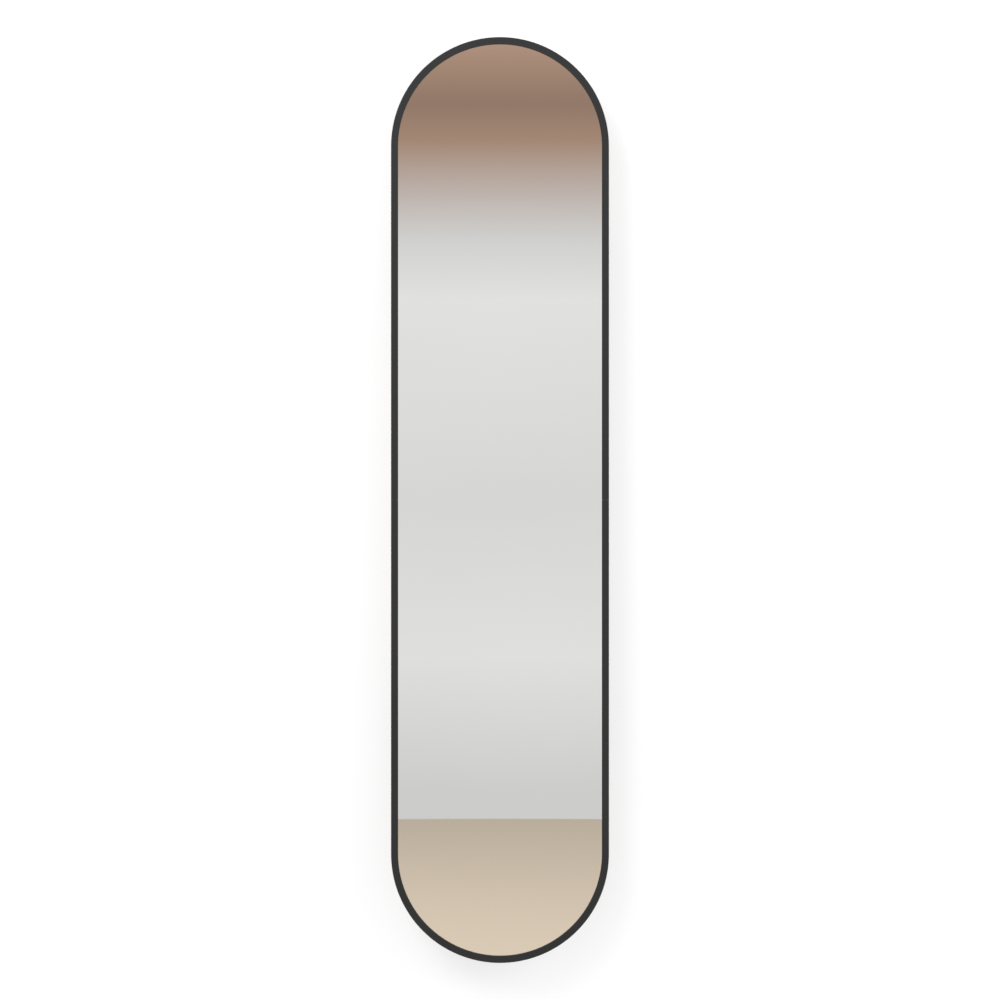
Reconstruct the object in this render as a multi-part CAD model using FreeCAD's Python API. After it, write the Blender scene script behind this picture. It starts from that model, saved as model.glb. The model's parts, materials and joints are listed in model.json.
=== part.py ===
import FreeCAD
import Part
import math
import os
from FreeCAD import Vector

# Pull-out closet mirror: a slim pill-shaped mirror that is stored flat against the
# side panel of a wardrobe. Two ball-bearing slides carry an upright, the upright carries
# the mirror on two pivots, and the mirror is pulled out to the front and swung open.
#
# All lengths are millimetres. The closet's side panel is the plane y = 0, the mirror
# faces -Y, the slides pull out towards +X, and +Z is up. The origin is the centre of the
# four panel screws. Angles are degrees.

# ---------------------------------------------------------------- driving dimensions

# mirror and its frame
mirror_width = 330.0
mirror_height = 1402.0
frame_depth = 20.0
frame_wall = 1.6
rim_width = 10.0
rim_bevel = 1.0
rib_width = 8.0
glass_thickness = 4.0
film_thickness = 0.3
board_thickness = 3.0
seal_thickness = 0.8
seal_width = 6.0
seam_gap = 0.1
key_length = 70.0
key_width = 4.6
key_depth = 6.0

# crossbars that carry the frame
crossbar_sheet = 2.0
crossbar_flange = 6.0
crossbar_bend = 2.0
crossbar_end_inset = 0.5
crossbar_screw_pitch = 22.0

# pivots
pin_radius = 3.0
pin_head_height = 4.0
pin_tail = 1.5
bush_wall = 0.95
barrel_wall = 2.5
barrel_length = 35.6
barrel_gap = 5.45
ear_margin = 5.0
plate_thickness = 3.0
plate_height = 68.0
plate_screw_inset = 8.0
ear_gap = 1.0
swing_gap = 2.3
pivot_edge = 23.0
pivot_inset = 40.0
nut_height = 5.0
wrench_width = 10.0

# upright, a lipped channel
upright_width = 30.0
upright_depth = 19.0
upright_sheet = 1.5
upright_bend = 2.0
upright_lip = 8.0
upright_height = 830.0
upright_inset = 20.0
cap_thickness = 2.5
cap_plug = 8.0
cap_clearance = 0.6

# stops
tab_gap = 1.0
tip_cover = 5.0
tip_wall = 2.0
stop_gap = 0.3
buffer_radius = 5.0

# ball-bearing slides
slide_length = 300.0
slide_height = 45.2
slide_thickness = 12.7
slide_drop = 55.0
slide_travel = 300.0
slide_sheet = 1.2
slide_bend = 1.5
roll_radius = 1.8
ball_radius = 2.0
race_angle = 61.0
outer_lip_angle = 38.0
middle_lip_angle = 330.0
inner_roll_angle = 305.0
inner_lip_angle = 255.0
cage_sheet = 0.6
cage_gap = 0.25
cage_margin = 1.0
cage_slot_width = 14.0
cage_slot_inset = 20.0
ball_pitch = 26.0
balls_per_row = 5
ball_sides = 6
ball_bands = 3
stop_height = 12.0
stop_inset = 1.5
bumper_length = 9.0
bumper_height = 34.0
bumper_depth = 8.0
bumper_bevel = 2.0
middle_front_inset = 1.0
panel_hole_pitch = 224.0
panel_hole_radius = 2.3
access_hole_radius = 5.0

# screws
screw_radius = 2.0
screw_head_radius = 3.5
screw_head_height = 2.2
screw_point = 5.0
screw_sides = 6
slide_screw_pitch = 14.0

# clearances
ball_clearance = 0.1
pin_clearance = 0.05
fit_clearance = 0.05
key_clearance = 0.1
edge_clearance = 0.1
side_clearance = 0.2

# ---------------------------------------------------------------- derived places

# Slide section: u is the depth from the panel and v the height from the slide's middle.
race_radius = ball_radius + ball_clearance + slide_sheet / 2
outer_web = slide_sheet / 2
outer_cage_web = slide_sheet + cage_gap + cage_sheet / 2
middle_web = slide_sheet + 2 * cage_gap + cage_sheet + slide_sheet / 2
inner_cage_web = middle_web + slide_sheet / 2 + cage_gap + cage_sheet / 2
inner_web = slide_thickness - slide_sheet / 2
top_flange = slide_height / 2 - slide_sheet / 2
race_step = Vector(math.cos(math.radians(race_angle)), math.sin(math.radians(race_angle)), 0)
outer_ball = Vector(middle_web + race_radius, top_flange - race_radius, 0)
outer_ball = outer_ball + Vector(2 * race_radius * race_step.x, 0, 0)
inner_ball = outer_ball - race_step * (2 * race_radius)

# Along the slide, with the stops that trap the cages.
slide_front = slide_length / 2
slide_rear = -slide_length / 2
member_rear = slide_rear + bumper_length + stop_gap
middle_front = slide_front - middle_front_inset
middle_travel = slide_travel / 2
outer_stop = slide_front - stop_inset - slide_sheet
middle_stop = middle_front - stop_inset - slide_sheet
rear_stop = member_rear + slide_sheet

# Depths, measured along Y.
slide_face = -slide_thickness
upright_face = slide_face - upright_depth
plate_top = slide_face - upright_sheet - upright_bend
bush_radius = pin_radius + pin_clearance + bush_wall
barrel_radius = bush_radius + fit_clearance + barrel_wall
mirror_back = upright_face - swing_gap - crossbar_flange - crossbar_sheet
mirror_front = mirror_back - frame_depth
crossbar_back = mirror_back + crossbar_sheet
pivot_y = crossbar_back + barrel_gap + barrel_radius

# Along X.
upright_right = slide_front - upright_inset
upright_left = upright_right - upright_width
upright_middle = (upright_left + upright_right) / 2
ear_radius = pin_radius + ear_margin
pivot_x = upright_right + plate_thickness + ear_gap + ear_radius
stop_x = pivot_x + barrel_radius + barrel_gap - stop_gap
tab_end = stop_x - tip_wall
mirror_middle = pivot_x + pivot_edge - mirror_width / 2
end_radius = mirror_width / 2
end_level = mirror_height / 2 - end_radius

# Up the object and along the pivot.
crossbar_level = upright_height / 2 - pivot_inset
slide_level = crossbar_level - slide_drop
yoke_gap = barrel_length + 2 * side_clearance
crossbar_height = yoke_gap + 2 * crossbar_sheet
tab_height = crossbar_screw_pitch - 2 * (screw_head_radius + tab_gap + tip_wall)

# Frame section, measured from the front face.
glass_front = mirror_front + frame_wall + seal_thickness
film_front = glass_front + glass_thickness
board_front = film_front + film_thickness
rib_front = board_front + board_thickness
pane_inset = frame_wall + edge_clearance
rib_middle = end_radius - rib_width / 2

levels = {"upper": 1, "lower": -1}
sides = {"right": 1, "left": -1}
along_x = Vector(1, 0, 0)
along_y = Vector(0, 1, 0)
along_z = Vector(0, 0, 1)


# ---------------------------------------------------------------- shared shapes


def box(x_range, y_range, z_range):
    """Block between two corners, each range given in either order."""
    low = Vector(min(x_range), min(y_range), min(z_range))
    high = Vector(max(x_range), max(y_range), max(z_range))
    size = high - low
    return Part.makeBox(size.x, size.y, size.z, low)


def tube(outer, inner, height, base, direction):
    """Round tube standing on base."""
    solid = Part.makeCylinder(outer, height, base, direction)
    return solid.cut(Part.makeCylinder(inner, height, base, direction))


def join(*shapes):
    """One solid of several that meet, with no seams left on flat faces."""
    return shapes[0].fuse(list(shapes[1:])).removeSplitter()


def moved(shape, place):
    """Copy of a shape shifted by a vector."""
    copy = shape.copy()
    copy.translate(place)
    return copy


def flipped(shape):
    """Copy of a shape mirrored from the upper half to the lower half."""
    return shape.mirror(Vector(0, 0, 0), along_z)


def at_level(shape, level):
    """A shape made for the upper half, or its mirror image for the lower half."""
    if levels[level] > 0:
        return shape
    return flipped(shape)


def prism(sides, radius, height, base, direction):
    """Regular prism standing on base, its corners on a circle of the given radius."""
    start = direction.cross(along_z if abs(direction.z) < 0.5 else along_x) * radius
    corners = []
    for index in range(sides + 1):
        turn = FreeCAD.Rotation(direction, 360 * index / sides)
        corners.append(base + turn.multVec(start))
    return Part.Face(Part.makePolygon(corners)).extrude(direction * height)


def screw_length(grip):
    """Length of a screw that clamps a thickness and bites into what lies behind it."""
    return grip + screw_point


def screw(length, seat, direction):
    """Pan-head screw; seat is the middle under its head, direction the way it drives."""
    shank = prism(screw_sides, screw_radius, length, seat, direction)
    head = prism(screw_sides, screw_head_radius, screw_head_height, seat, direction * -1)
    return shank.fuse(head)


def screw_hole(depth, seat, direction):
    """Cutter for a screw's hole, whose flats clear the screw all round."""
    radius = (screw_radius + fit_clearance) / math.cos(math.pi / screw_sides)
    return prism(screw_sides, radius, depth, seat, direction)


# ---------------------------------------------------------------- sheet-metal sections


def straight(start, end):
    """Straight run of a sheet's middle line."""
    return {"start": start, "end": end}


def bend(centre, radius, first_angle, last_angle):
    """Curved run of a sheet's middle line about a centre."""
    return {"centre": centre, "radius": radius, "angles": (first_angle, last_angle)}


def polar(centre, radius, angle):
    """Point at an angle on a circle of the section plane."""
    turn = math.radians(angle)
    return centre + Vector(math.cos(turn), math.sin(turn), 0) * radius


def rounded_path(points, radius):
    """Middle line through points, with a bend of one radius at each inner point."""
    path = []
    start = points[0]
    for before, corner, after in zip(points, points[1:], points[2:]):
        way_in = (corner - before).normalize()
        way_out = (after - corner).normalize()
        turn = math.atan2(way_in.cross(way_out).z, way_in.dot(way_out))
        setback = radius * math.tan(abs(turn) / 2)
        first = corner - way_in * setback
        left = Vector(-way_in.y, way_in.x, 0)
        centre = first + left * math.copysign(radius, turn)
        angle = math.degrees(math.atan2(first.y - centre.y, first.x - centre.x))
        path.append(straight(start, first))
        path.append(bend(centre, radius, angle, angle + math.degrees(turn)))
        start = corner + way_out * setback
    path.append(straight(start, points[-1]))
    return path


def symmetric_path(half):
    """Middle line whose second half is given and whose first half is its mirror image."""
    first = []
    for run in reversed(half):
        if "centre" in run:
            centre = Vector(run["centre"].x, -run["centre"].y, 0)
            first.append(bend(centre, run["radius"], -run["angles"][1], -run["angles"][0]))
        else:
            start = Vector(run["end"].x, -run["end"].y, 0)
            first.append(straight(start, Vector(run["start"].x, -run["start"].y, 0)))
    return first + half


def side_points(run, offset):
    """Start, middle and end of a run, shifted to the left of the middle line."""
    if "centre" in run:
        first, last = run["angles"]
        radius = run["radius"] - offset * math.copysign(1, last - first)
        return [polar(run["centre"], radius, angle) for angle in (first, (first + last) / 2, last)]
    way = (run["end"] - run["start"]).normalize()
    shift = Vector(-way.y, way.x, 0) * offset
    middle = (run["start"] + run["end"]) / 2
    return [point + shift for point in (run["start"], middle, run["end"])]


def sheet_face(path, thickness, place):
    """Section of a bent sheet about its middle line; place puts a section point in space."""
    edges = []
    ends = []
    for offset in (thickness / 2, -thickness / 2):
        for run in path:
            start, middle, end = [place(point) for point in side_points(run, offset)]
            if "centre" in run:
                edges.append(Part.Arc(start, middle, end).toShape())
            else:
                edges.append(Part.makeLine(start, end))
        ends.append([place(side_points(path[0], offset)[0]), place(side_points(path[-1], offset)[2])])
    edges.append(Part.makeLine(ends[0][0], ends[1][0]))
    edges.append(Part.makeLine(ends[0][1], ends[1][1]))
    return Part.Face(Part.Wire(Part.__sortEdges__(edges)))


# ---------------------------------------------------------------- ball-bearing slides


def slide_place(point):
    """Slide section point in space, on the slide's own middle plane."""
    return Vector(0, -point.x, point.y)


def slide_member(half, rear, front):
    """Rolled slide member from half of its middle line."""
    section = sheet_face(symmetric_path(half), slide_sheet, slide_place)
    section.translate(Vector(rear, 0, 0))
    return section.extrude(Vector(front - rear, 0, 0))


def at_slide(shape, level):
    """A slide piece lifted to its place on the panel."""
    return at_level(moved(shape, Vector(0, 0, slide_level)), level)


def stop_tab(rear, low, high):
    """Small stop pressed out of a slide member's web."""
    return box((rear, rear + slide_sheet), (-low, -high), (-stop_height / 2, stop_height / 2))


def outer_member():
    """Member fixed to the panel, with the outer races, panel holes and a front stop."""
    corner = Vector(outer_web, top_flange, 0)
    half = rounded_path([Vector(outer_web, 0, 0), corner, Vector(outer_ball.x, top_flange, 0)], slide_bend)
    half.append(bend(outer_ball, race_radius, 90, outer_lip_angle))
    member = slide_member(half, slide_rear, slide_front)
    tab = stop_tab(outer_stop, slide_sheet / 2, slide_sheet + cage_gap + cage_sheet)
    member = join(member, tab)
    for side in sides.values():
        hole_base = Vector(side * panel_hole_pitch / 2, 0, 0)
        member = member.cut(Part.makeCylinder(panel_hole_radius, slide_sheet, hole_base, along_y * -1))
    return member


def middle_member():
    """Member between the two ball rows, with an access hole for the front panel screw."""
    half = [
        straight(Vector(middle_web, 0, 0), Vector(middle_web, inner_ball.y, 0)),
        bend(inner_ball, race_radius, 180, race_angle),
        bend(outer_ball, race_radius, 180 + race_angle, middle_lip_angle),
    ]
    member = slide_member(half, member_rear, middle_front)
    web_back = middle_web - slide_sheet / 2
    web_front = middle_web + slide_sheet / 2
    rear_tab = stop_tab(member_rear, web_back - cage_sheet - cage_gap, middle_web)
    front_tab = stop_tab(middle_stop, middle_web, web_front + cage_gap + cage_sheet)
    member = join(member, rear_tab, front_tab)
    hole_base = Vector(panel_hole_pitch / 2 - middle_travel, -web_back, 0)
    return member.cut(prism(screw_sides, access_hole_radius, slide_sheet, hole_base, along_y * -1))


def inner_member():
    """Member that carries the upright, with rolled inner races and a bent rear stop."""
    roll = polar(inner_ball, race_radius + roll_radius, inner_roll_angle)
    flange = roll.y + roll_radius
    half = rounded_path(
        [Vector(inner_web, 0, 0), Vector(inner_web, flange, 0), Vector(roll.x, flange, 0)], slide_bend
    )
    half.append(bend(roll, roll_radius, 90, inner_roll_angle - 180))
    half.append(bend(inner_ball, race_radius, inner_roll_angle, inner_lip_angle))
    member = slide_member(half, member_rear, slide_front)
    member = join(member, stop_tab(member_rear, inner_cage_web - cage_sheet / 2, inner_web))
    for place in slide_screw_places():
        member = member.cut(screw_hole(slide_sheet, Vector(place.x, slide_face, place.z), along_y))
    return member


def ball_places(middle, ball):
    """Ball centres of one cage: two rows, above and below the slide's middle."""
    row = [(index - (balls_per_row - 1) / 2) * ball_pitch for index in range(balls_per_row)]
    return [Vector(middle + step, -ball.x, side * ball.y) for side in (1, -1) for step in row]


def cage_span(front_stop, front_travel, rear_travel, cage_travel):
    """Ends of a closed cage that just fits between its two stops when pulled out."""
    rear = rear_stop + rear_travel + stop_gap - cage_travel
    return rear, front_stop + front_travel - stop_gap - cage_travel


def cage(span, web, ball):
    """Channel-shaped retainer strip, with a window for each ball and a long slot in its web."""
    edge = ball.x + ball_radius + ball_clearance + cage_margin
    back = web - cage_sheet / 2
    top = ball.y + cage_sheet / 2
    strip = box(span, (-back, -edge), (-top, top))
    strip = strip.cut(box(span, (-back - cage_sheet, -edge), (cage_sheet - top, top - cage_sheet)))
    middle = sum(span) / 2
    reach = ball_radius + ball_clearance
    for place in ball_places(middle, ball):
        window = [(value - reach, value + reach) for value in (place.x, place.y, place.z)]
        strip = strip.cut(box(*window))
    slot = (span[0] + cage_slot_inset, span[1] - cage_slot_inset)
    return strip.cut(box(slot, (-back, -back - cage_sheet), (-cage_slot_width / 2, cage_slot_width / 2)))


def bearing_ball():
    """Ball of flat facets whose corners all lie on the ball's surface."""
    rings = []
    for band in range(ball_bands + 1):
        tilt = math.pi * band / ball_bands
        ring = []
        for side in range(ball_sides):
            turn = 2 * math.pi * side / ball_sides
            spoke = Vector(0, math.cos(turn), math.sin(turn)) * math.sin(tilt)
            ring.append((spoke + along_x * math.cos(tilt)) * ball_radius)
        rings.append(ring)
    facets = []
    for band in range(ball_bands):
        for side in range(ball_sides):
            after = (side + 1) % ball_sides
            corners = [rings[band][side], rings[band + 1][side], rings[band + 1][after], rings[band][after]]
            if band == 0:
                corners = corners[:3]
            if band == ball_bands - 1:
                corners = [corners[0], corners[1], corners[3]]
            facets.append(Part.Face(Part.makePolygon(corners + corners[:1])))
    return Part.Solid(Part.Shell(facets))


def balls(span, ball):
    """All the balls of one cage."""
    pattern = bearing_ball()
    return Part.Compound([moved(pattern, place) for place in ball_places(sum(span) / 2, ball)])


def rear_bumper():
    """Elastomer block that the middle and inner members close against."""
    block = box(
        (slide_rear, slide_rear + bumper_length),
        (-slide_sheet, -slide_sheet - bumper_depth),
        (-bumper_height / 2, bumper_height / 2),
    )
    front = -slide_sheet - bumper_depth
    edges = [edge for edge in block.Edges if edge.BoundBox.YMax < front + bumper_bevel / 2]
    return block.makeChamfer(bumper_bevel, edges)


# ---------------------------------------------------------------- upright and pivot blocks


def slide_screw_places():
    """Seats of the screws that hold the upright to one slide, in the slide's own frame."""
    seat_y = slide_face - upright_sheet
    return [Vector(upright_middle, seat_y, side * slide_screw_pitch / 2) for side in (1, -1)]


def plate_screw_places():
    """Seats of the upper pivot block's screws."""
    seat_x = upright_right + plate_thickness
    seat_y = (plate_top + upright_face) / 2
    reach = plate_height / 2 - plate_screw_inset
    return [Vector(seat_x, seat_y, crossbar_level + side * reach) for side in (1, -1)]


def upright():
    """Lipped channel with a stop tab beside each pivot."""
    left = upright_left + upright_sheet / 2
    right = upright_right - upright_sheet / 2
    web = slide_thickness + upright_sheet / 2
    lip = slide_thickness + upright_depth - upright_sheet / 2
    reach = upright_lip
    corners = [
        (left + reach, lip),
        (left, lip),
        (left, web),
        (right, web),
        (right, lip),
        (right - reach, lip),
    ]
    path = rounded_path([Vector(across, depth, 0) for across, depth in corners], upright_bend)
    section = sheet_face(path, upright_sheet, lambda point: Vector(point.x, -point.y, -upright_height / 2))
    channel = section.extrude(Vector(0, 0, upright_height))
    tab = box(
        (right, tab_end),
        (slide_face, slide_face - upright_sheet),
        (crossbar_level - tab_height / 2, crossbar_level + tab_height / 2),
    )
    channel = join(channel, tab, flipped(tab))
    cutters = []
    for place in slide_screw_places():
        cutters.append(screw_hole(upright_sheet, place + along_z * slide_level, along_y))
    for place in plate_screw_places():
        seat = place - along_x * plate_thickness
        cutters.append(screw_hole(upright_sheet, seat, along_x * -1))
    return channel.cut(cutters + [flipped(cutter) for cutter in cutters])


def upright_cap():
    """Plastic cap that plugs the top end of the upright."""
    top = upright_height / 2
    plate = box((upright_left, upright_right), (slide_face, upright_face), (top, top + cap_thickness))
    gap = upright_sheet + cap_clearance
    plug = box(
        (upright_left + gap, upright_right - gap),
        (slide_face - gap, upright_face + gap),
        (top - cap_plug, top),
    )
    return join(plate, plug)


def pivot_block():
    """Die-cast block: a plate on the upright, a tapered neck and the pivot barrel."""
    plate = box(
        (upright_right, upright_right + plate_thickness),
        (plate_top, upright_face),
        (crossbar_level - plate_height / 2, crossbar_level + plate_height / 2),
    )
    base = crossbar_level - barrel_length / 2
    barrel = Part.makeCylinder(barrel_radius, barrel_length, Vector(pivot_x, pivot_y, base), along_z)
    outline = [
        Vector(upright_right, plate_top, base),
        Vector(upright_right + plate_thickness, plate_top, base),
        Vector(pivot_x, pivot_y + barrel_radius, base),
        Vector(pivot_x, pivot_y - barrel_radius, base),
        Vector(upright_right + plate_thickness, upright_face, base),
        Vector(upright_right, upright_face, base),
    ]
    neck = Part.Face(Part.makePolygon(outline + outline[:1])).extrude(along_z * barrel_length)
    block = join(plate, neck, barrel)
    bore_base = Vector(pivot_x, pivot_y, base)
    block = block.cut(Part.makeCylinder(bush_radius + fit_clearance, barrel_length, bore_base, along_z))
    for place in plate_screw_places():
        block = block.cut(screw_hole(plate_thickness, place, along_x * -1))
    return block


def pivot_bush():
    """Plain bush in the upper barrel."""
    base = Vector(pivot_x, pivot_y, crossbar_level - barrel_length / 2)
    return tube(bush_radius, pin_radius + pin_clearance, barrel_length, base, along_z)


def stop_tip():
    """Rubber cap on the upper stop tab."""
    middle = slide_face - upright_sheet / 2
    reach = upright_sheet / 2 + tip_wall
    tall = tab_height / 2 + tip_wall
    block = box(
        (tab_end - tip_cover, stop_x),
        (middle - reach, middle + reach),
        (crossbar_level - tall, crossbar_level + tall),
    )
    slot = box(
        (tab_end - tip_cover, tab_end),
        (slide_face + fit_clearance, slide_face - upright_sheet - fit_clearance),
        (crossbar_level - tab_height / 2 - fit_clearance, crossbar_level + tab_height / 2 + fit_clearance),
    )
    return block.cut(slot)


# ---------------------------------------------------------------- mirror frame and panes


def stadium_plate(inset, front, back):
    """Pill-shaped plate inset from the frame's outline, between two depths."""
    radius = end_radius - inset
    start = Vector(mirror_middle, front, 0)
    tops = [start + Vector(side * radius, 0, end_level) for side in (1, -1)]
    bottoms = [start + Vector(side * radius, 0, -end_level) for side in (1, -1)]
    crown = start + Vector(0, 0, end_level + radius)
    foot = start - Vector(0, 0, end_level + radius)
    edges = [
        Part.makeLine(bottoms[0], tops[0]),
        Part.Arc(tops[0], crown, tops[1]).toShape(),
        Part.makeLine(tops[1], bottoms[1]),
        Part.Arc(bottoms[1], foot, bottoms[0]).toShape(),
    ]
    return Part.Face(Part.Wire(edges)).extrude(Vector(0, back - front, 0))


def frame_section():
    """Section of the frame: front lip, outer wall, pane pocket and rear rib."""
    outer = mirror_middle + end_radius
    wall = outer - frame_wall
    lip = outer - rim_width
    inner = outer - rib_width
    lip_back = mirror_front + frame_wall
    outline = [
        (outer, mirror_front + rim_bevel),
        (outer - rim_bevel, mirror_front),
        (lip, mirror_front),
        (lip, lip_back),
        (wall, lip_back),
        (wall, rib_front),
        (inner, rib_front),
        (inner, mirror_back),
        (outer, mirror_back),
    ]
    corners = [Vector(across, depth, end_level) for across, depth in outline + outline[:1]]
    return Part.Face(Part.makePolygon(corners))


def frame_half():
    """Upper half of the frame: the section swept up one leg, round the arch and down."""
    section = frame_section()
    leg = section.extrude(Vector(0, 0, seam_gap / 2 - end_level))
    arch = section.revolve(Vector(mirror_middle, 0, end_level), along_y, -180)
    other_leg = leg.mirror(Vector(mirror_middle, 0, 0), along_x)
    half = join(leg, arch, other_leg)
    cutters = [splice_bar(side, key_clearance) for side in sides.values()]
    for place in crossbar_screw_places():
        cutters.append(screw_hole(screw_length(crossbar_sheet) + fit_clearance, place, along_y * -1))
    return half.cut(cutters)


def glass_seal():
    """Flat sealing ring between the frame's lip and the glass."""
    ring = stadium_plate(pane_inset, mirror_front + frame_wall, glass_front)
    return ring.cut(stadium_plate(pane_inset + seal_width, mirror_front + frame_wall, glass_front))


def splice_bar(side, clearance):
    """Bar across the seam in the frame's rear rib, grown all round by a clearance."""
    middle = mirror_middle + side * rib_middle
    depth = (rib_front + mirror_back) / 2
    across = key_width / 2 + clearance
    deep = key_depth / 2 + clearance
    reach = key_length / 2 + clearance
    return box((middle - across, middle + across), (depth - deep, depth + deep), (-reach, reach))


# ---------------------------------------------------------------- crossbars and pivot pins


def crossbar_screw_places():
    """Seats of the upper crossbar's screws, two at each end."""
    seat_y = mirror_back + crossbar_sheet
    places = []
    for side in sides.values():
        for step in (1, -1):
            seat_z = crossbar_level + step * crossbar_screw_pitch / 2
            places.append(Vector(mirror_middle + side * rib_middle, seat_y, seat_z))
    return places


def crossbar():
    """Pressed channel across the frame, with two ears that hold the pivot pin."""
    web = -mirror_back - crossbar_sheet / 2
    rim = web - crossbar_sheet / 2 - crossbar_flange
    top = crossbar_height / 2 - crossbar_sheet / 2
    corners = [(rim, top), (web, top), (web, -top), (rim, -top)]
    path = rounded_path([Vector(depth, height, 0) for depth, height in corners], crossbar_bend)
    half_length = end_radius - crossbar_end_inset
    section = sheet_face(path, crossbar_sheet, slide_place)
    section.translate(Vector(mirror_middle - half_length, 0, crossbar_level))
    channel = section.extrude(Vector(2 * half_length, 0, 0))
    ears = []
    for step in (1, -1):
        base = crossbar_level + step * (crossbar_height / 2 - crossbar_sheet / 2) - crossbar_sheet / 2
        ears.append(Part.makeCylinder(ear_radius, crossbar_sheet, Vector(pivot_x, pivot_y, base), along_z))
        ears.append(
            box(
                (pivot_x - ear_radius, pivot_x + ear_radius),
                (crossbar_back + crossbar_flange / 2, pivot_y),
                (base, base + crossbar_sheet),
            )
        )
    channel = join(channel, *ears)
    bottom = Vector(pivot_x, pivot_y, crossbar_level - crossbar_height / 2)
    cutters = [Part.makeCylinder(pin_radius + pin_clearance, crossbar_height, bottom, along_z)]
    for place in crossbar_screw_places():
        cutters.append(screw_hole(crossbar_sheet, place, along_y * -1))
    return channel.cut(cutters)


def parking_buffer():
    """Rubber buffer on the crossbar that meets the upright when the mirror is closed."""
    base = Vector(upright_left + upright_lip / 2, crossbar_back, crossbar_level)
    return Part.makeCylinder(buffer_radius, upright_face - stop_gap - crossbar_back, base, along_y)


def pivot_pin():
    """Hexagon-headed bolt through the upper pivot."""
    seat = Vector(pivot_x, pivot_y, crossbar_level + crossbar_height / 2)
    shank = Part.makeCylinder(pin_radius, crossbar_height + nut_height + pin_tail, seat, along_z * -1)
    return join(shank, hexagon(pin_head_height, seat))


def hexagon(height, base):
    """Upright hexagonal prism for a wrench."""
    return prism(6, wrench_width / math.sqrt(3), height, base, along_z)


def pivot_nut():
    """Hexagon nut under the upper yoke."""
    base = Vector(pivot_x, pivot_y, crossbar_level - crossbar_height / 2 - nut_height)
    bore = Part.makeCylinder(pin_radius + pin_clearance, nut_height, base, along_z)
    return hexagon(nut_height, base).cut(bore)


# ---------------------------------------------------------------- the pieces by name


def mirrored_pair(*shapes):
    """Group of the given upper pieces and their lower mirror images."""
    return Part.Compound(list(shapes) + [flipped(shape) for shape in shapes])


def screws_at(places, length, direction):
    """Common screws at the given seats and at their lower mirror images."""
    return mirrored_pair(*[screw(length, place, direction) for place in places])


def build():
    """All pieces of the mirror, each under its own name."""
    outer_cage_span = cage_span(outer_stop, 0, middle_travel, middle_travel / 2)
    inner_cage_span = cage_span(middle_stop, middle_travel, slide_travel, 3 * middle_travel / 2)
    pieces = {}
    for level in levels:
        pieces[level + "_outer_member"] = at_slide(outer_member(), level)
        pieces[level + "_rear_bumper"] = at_slide(rear_bumper(), level)
        pieces[level + "_outer_cage"] = at_slide(cage(outer_cage_span, outer_cage_web, outer_ball), level)
        pieces[level + "_outer_balls"] = at_slide(balls(outer_cage_span, outer_ball), level)
        pieces[level + "_middle_member"] = at_slide(middle_member(), level)
        pieces[level + "_inner_cage"] = at_slide(cage(inner_cage_span, inner_cage_web, inner_ball), level)
        pieces[level + "_inner_balls"] = at_slide(balls(inner_cage_span, inner_ball), level)
        pieces[level + "_inner_member"] = at_slide(inner_member(), level)
        pieces[level + "_upright_cap"] = at_level(upright_cap(), level)
        pieces[level + "_pivot_block"] = at_level(pivot_block(), level)
        pieces[level + "_crossbar"] = at_level(crossbar(), level)
        pieces[level + "_frame_half"] = at_level(frame_half(), level)
    pieces["upright"] = upright()
    slide_seats = [place + along_z * slide_level for place in slide_screw_places()]
    plate_seats = plate_screw_places()
    crossbar_seats = crossbar_screw_places()
    pieces["slide_screws"] = screws_at(slide_seats, screw_length(upright_sheet), along_y)
    pieces["pivot_block_screws"] = screws_at(plate_seats, screw_length(plate_thickness), along_x * -1)
    pieces["pivot_bushes"] = mirrored_pair(pivot_bush())
    pieces["stop_tips"] = mirrored_pair(stop_tip())
    for side_name, side in sides.items():
        pieces[side_name + "_splice_key"] = splice_bar(side, 0)
    pieces["glass_seal"] = glass_seal()
    pieces["mirror_glass"] = stadium_plate(pane_inset, glass_front, film_front)
    pieces["safety_film"] = stadium_plate(pane_inset, film_front, board_front)
    pieces["backing_board"] = stadium_plate(pane_inset, board_front, rib_front)
    pieces["crossbar_screws"] = screws_at(crossbar_seats, screw_length(crossbar_sheet), along_y * -1)
    pieces["parking_buffers"] = mirrored_pair(parking_buffer())
    pieces["pivot_pins"] = mirrored_pair(pivot_pin())
    pieces["pivot_nuts"] = mirrored_pair(pivot_nut())
    return pieces


os.makedirs("parts", exist_ok=True)
for name, shape in build().items():
    shape.exportStep("parts/" + name + ".step")
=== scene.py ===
import json
import math

import bpy
from bpy.props import FloatProperty, FloatVectorProperty, IntProperty, PointerProperty
from bpy.types import Operator, Panel, PropertyGroup
from mathutils import Matrix, Vector


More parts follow.
